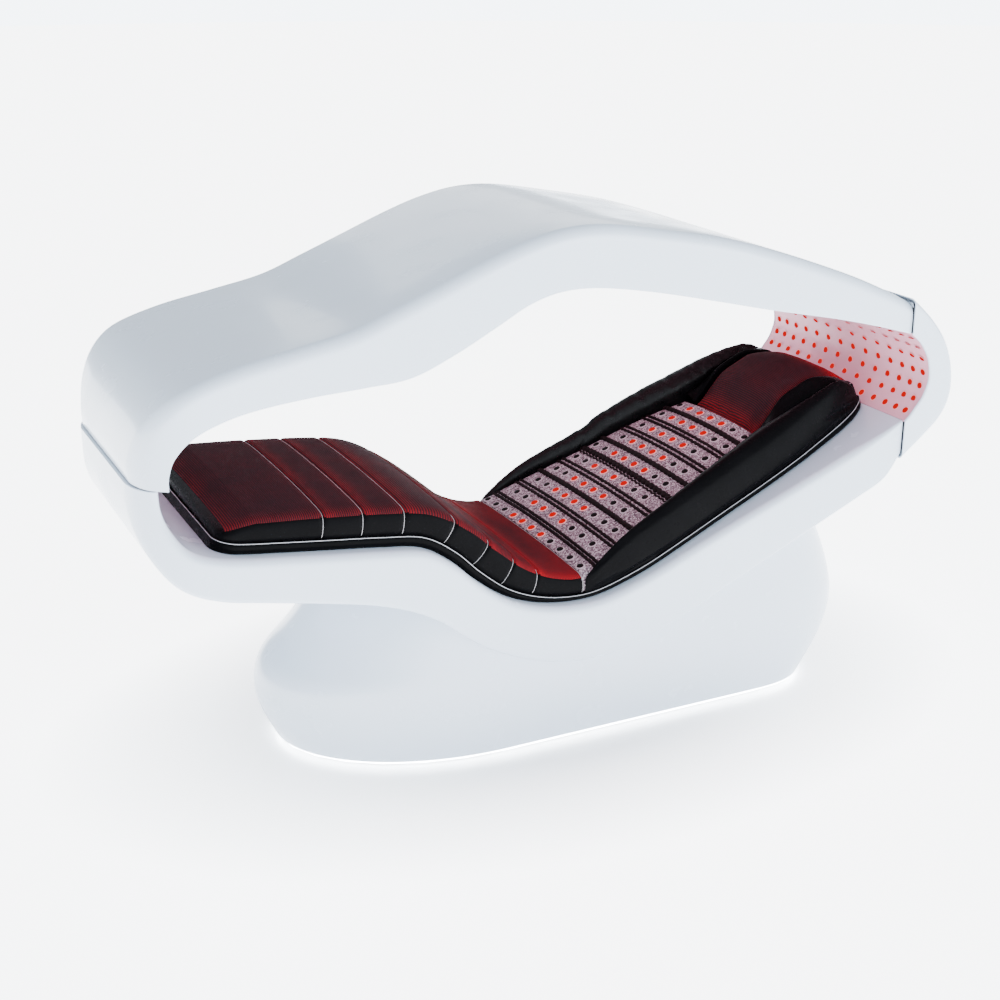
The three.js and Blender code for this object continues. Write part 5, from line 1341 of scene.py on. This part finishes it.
mattress_band()
leg_pad()
lamp_mat()
pillow()
for side, label in ((1, "far"), (-1, "near")):
    bolster(side, label)
    wing(side, label)


# Piping along the band's upper edge and by the near arm rest, and stitches in the channels
PIPING_RADIUS = 0.0011
WING_PIPING_RISE = 0.007
WING_PIPING_INSET = 0.003
STITCH_RADIUS = 0.0007
STITCH_LIFT = 0.0004


def piping():
    places = mattress_places()
    half = np.maximum(mattress_half(places) - 0.0005, 0.0)
    near = [on_deck(x, -h, band_top(x)) for x, h in zip(places, half)]
    foot = [on_deck(FOOT_X + 0.0004, y, band_top(FOOT_X)) for y in np.linspace(-half[0], half[0], 20)[1:-1]]
    far = [on_deck(x, h, band_top(x)) for x, h in zip(places, half)]
    meshes = [tube(near[::-1] + foot + far, PIPING_RADIUS)]
    places = np.linspace(WING_FOOT_X, BOLSTER_HEAD_X - 0.004, 60)
    seam = PAD_HEIGHT * valued(WING_SEAM_SHARES, places) + WING_PIPING_RISE
    meshes.append(tube(on_deck(places, WING_PIPING_INSET - seam_half(places), seam), PIPING_RADIUS))
    return finished(joined("mattress_piping", meshes), PIPING, "black_leather")


def stitches():
    meshes = []
    for x in [*channels, SEAM_X - 0.002]:
        section = pad_ring(x)
        keep = section[:, 1] > cushion_low(x) + 0.002
        line = section[keep] + [0, STITCH_LIFT]
        meshes.append(tube(on_deck(x, line[:, 0], line[:, 1]), STITCH_RADIUS, sides=6))
    return finished(joined("channel_stitches", meshes), THREAD, "red_mesh")


piping()
stitches()


# Lamp rows, eyelets and braids on the mat
ROW_SHARES = (0.0099, 0.0482, 0.081, 0.1098, 0.138, 0.1666, 0.193, 0.2213, 0.2503, 0.2761)
LIT = (-1, 0, 1, 2)
# Dark eyelets of each row beside the lit lamps: on the far side and on the near side
DARK_COUNTS = ((3, 4), (2, 3), (2, 3), (2, 2), (2, 2), (2, 2), (1, 2), (1, 2), (1, 2), (1, 2))
MAT_DOT_PITCH = 0.0582
# Radius and height of the mat's lamps with their painted glow halos, and of its eyelets
MAT_LAMP = (0.0114, 0.0050)
MAT_LAMP_HALO = (0.0138, 0.0018)
MAT_EYELET = (0.0108, 0.0054)
MAT_EYELET_RIM = (0.0134, 0.0022)
MAT_LAMP_LIFT = 0.0004
BRAIDS = ("double", "double", "single", "double", "wavy", "single", "double", "double", "single")
BRAID_SWAY_PITCH = 0.021
BRAID_LIFT_SHARE = 0.05
BRAID_END_INSET = 0.006
# Offset along the mat, radius and sway of each line of a braid
BRAID_LINES = {
    "single": ((0.0, 0.0084, 0.0008),),
    "double": ((-0.0074, 0.0050, 0.0008), (0.0074, 0.0050, 0.0008)),
    "wavy": ((0.004, 0.0080, 0.0030), (-0.0105, 0.0030, 0.0018)),
}


def mat_surface(x, across, lift=0.0):
    section = mat_ring(x)
    order = section[len(section) // 2 - 38:len(section) // 2 + 38]
    order = order[np.argsort(order[:, 0])]
    height = np.interp(across, order[:, 0], order[:, 1])
    return on_deck(x, across, height + lift)


def surface_normal(x, across):
    reach = 0.004
    a = mat_surface(x + reach, across) - mat_surface(x - reach, across)
    b = mat_surface(x, across + reach) - mat_surface(x, across - reach)
    n = np.cross(a, b)
    return n / np.linalg.norm(n)


def mat_details():
    lit, dark = [], []
    rows = np.array(ROW_SHARES) * COUCH_LENGTH
    for x, (far, near) in zip(rows, DARK_COUNTS):
        for k in range(LIT[0] - near, LIT[-1] + far + 1):
            y = k * MAT_DOT_PITCH
            place = (mat_surface(x, y, MAT_LAMP_LIFT), surface_normal(x, y))
            (lit if k in LIT else dark).append(place)
    # Thin discs of painted glow under the lamps, showing as a halo round each
    domes("mat_lamp_halos", lit, *MAT_LAMP_HALO, "couch", LAMP_HALO, "speckled_knit", sides=20)
    domes("mat_lamps", lit, *MAT_LAMP, "couch", LAMP, "speckled_knit", sides=20)
    domes("mat_eyelet_rims", dark, *MAT_EYELET_RIM, "couch", EYELET_RIM, "speckled_knit", sides=20)
    domes("mat_eyelets", dark, *MAT_EYELET, "couch", EYELET, "speckled_knit", sides=20)
    meshes = []
    for (a, b), kind in zip(zip(rows, rows[1:]), BRAIDS):
        for offset, radius, swing in BRAID_LINES[kind]:
            x = (a + b) / 2 + offset
            ys = np.linspace(-1, 1, 260) * (seam_half(x) - BRAID_END_INSET)
            sway = swing * np.sin(ys * 2 * math.pi / BRAID_SWAY_PITCH)
            path = [mat_surface(x + s, y, radius * BRAID_LIFT_SHARE) for s, y in zip(sway, ys)]
            meshes.append(tube(path, radius))
    finished(joined("mat_braids", meshes), BRAID, "speckled_knit")


mat_details()


# Stage: pale floor, soft studio light, and the photograph's viewing angle
FLOOR_REACH = 30
FLOOR_GLOW = 5.6
FLOOR_LEVEL = 7.0
# Painted shadow on the floor: its glow drops to a share of itself inside an ellipse round the couch
PAINTED_SHADOW_SCALE = (0.80, 1.25, 0)
PAINTED_SHADOW_RANGE = (0.55, 1.15)
PAINTED_SHADOW_SHARE = 0.12
WORLD_HIGH = 1.35
WORLD_LOW = 5.5
NEAR_SIDE = (0.42, -0.91, 0.0)
WORLD_COLOR = (0.90, 0.985, 1.08, 1)
# Name, place, height aimed at, size and power of each light
LIGHTS = (
    ("key", (2.4, -4.2, 1.8), 0.7, (2.5, 2.0), 70),
    ("rim", (1.5, 3.5, 2.6), 0.8, (3.0, 1.5), 25),
)
CAMERA_PLACE = (-1.934, -3.812, 2.169)
CAMERA_PITCH = 20.304
CAMERA_YAW = 25.889
FOCAL_PIXELS = 1600
FRAME_PIXELS = 1000
SENSOR = 36


def studio_floor():
    mesh = bpy.data.meshes.new("studio_floor")
    turn = np.linspace(0, 2 * math.pi, 64, endpoint=False)
    points = [(FLOOR_REACH * math.cos(t), FLOOR_REACH * math.sin(t), cad_low.z) for t in turn]
    mesh.from_pydata(points, [], [tuple(range(64))])
    floor = bpy.data.objects.new("studio_floor", mesh)
    bpy.context.scene.collection.objects.link(floor)
    mat, tree, shader = material("pale_floor", (0.90, 0.91, 0.92), 0.32)
    tone = noise(tree, place_of(tree), 3, 2)
    tree.links.new(mixed(tree, tone, (0.88, 0.89, 0.90), (0.92, 0.925, 0.93)), shader.inputs["Base Color"])
    # Painted shadow: the floor's glow dims under and round the couch
    painted_shadow = tree.nodes.new("ShaderNodeVectorMath")
    painted_shadow.operation = "LENGTH"
    tree.links.new(place_of(tree, PAINTED_SHADOW_SCALE), painted_shadow.inputs[0])
    glow = ranged(tree, painted_shadow.outputs["Value"], FLOOR_GLOW * PAINTED_SHADOW_SHARE, FLOOR_GLOW, *PAINTED_SHADOW_RANGE)
    tree.links.new(glow, shader.inputs["Emission Strength"])
    tree.links.new(mixed(tree, tone, (0.985, 0.99, 1.0), (0.99, 0.995, 1.0)), shader.inputs["Emission Color"])
    mesh.materials.append(mat)


def studio_light(name, place, aim_height, size, power):
    """A soft rectangular light aimed at a height over the middle of the couch."""
    data = bpy.data.lights.new(name, "AREA")
    data.shape = "RECTANGLE"
    data.size, data.size_y = size
    data.energy = power
    light = bpy.data.objects.new(name, data)
    light.location = place
    aim = Vector((0, 0, aim_height)) - Vector(place)
    light.rotation_euler = aim.to_track_quat("-Z", "Y").to_euler()
    bpy.context.scene.collection.objects.link(light)


def studio_world():
    """Brightest low down on the camera's side, and as bright as the floor below the horizon."""
    world = bpy.data.worlds.new("studio")
    bpy.context.scene.world = world
    world.use_nodes = True
    tree = world.node_tree
    background = tree.nodes["Background"]
    separate = tree.nodes.new("ShaderNodeSeparateXYZ")
    coordinates = tree.nodes.new("ShaderNodeTexCoord")
    tree.links.new(coordinates.outputs["Generated"], separate.inputs[0])
    level = ranged(tree, separate.outputs["Z"], 1, 0)
    towards = tree.nodes.new("ShaderNodeVectorMath")
    towards.operation = "DOT_PRODUCT"
    towards.inputs[1].default_value = NEAR_SIDE
    tree.links.new(coordinates.outputs["Generated"], towards.inputs[0])
    near_side = ranged(tree, towards.outputs["Value"], 0, 1, -0.1, 0.9)
    low_light = math_node(tree, "MULTIPLY", math_node(tree, "POWER", level, 2), near_side)
    sky = math_node(tree, "ADD", math_node(tree, "MULTIPLY", low_light, WORLD_LOW), WORLD_HIGH)
    below = math_node(tree, "LESS_THAN", separate.outputs["Z"], 0.0)
    tree.links.new(math_node(tree, "MAXIMUM", sky, math_node(tree, "MULTIPLY", below, FLOOR_LEVEL)),
                   background.inputs["Strength"])
    background.inputs["Color"].default_value = WORLD_COLOR


def studio_camera():
    data = bpy.data.cameras.new("photo_camera")
    data.sensor_width = SENSOR
    data.lens = FOCAL_PIXELS / FRAME_PIXELS * SENSOR
    data.clip_end = 100
    camera = bpy.data.objects.new("photo_camera", data)
    camera.location = CAMERA_PLACE
    camera.rotation_euler = (math.radians(90 - CAMERA_PITCH), 0, math.radians(-CAMERA_YAW))
    bpy.context.scene.collection.objects.link(camera)
    bpy.context.scene.camera = camera


studio_floor()
studio_world()
studio_camera()
for light in LIGHTS:
    studio_light(*light)
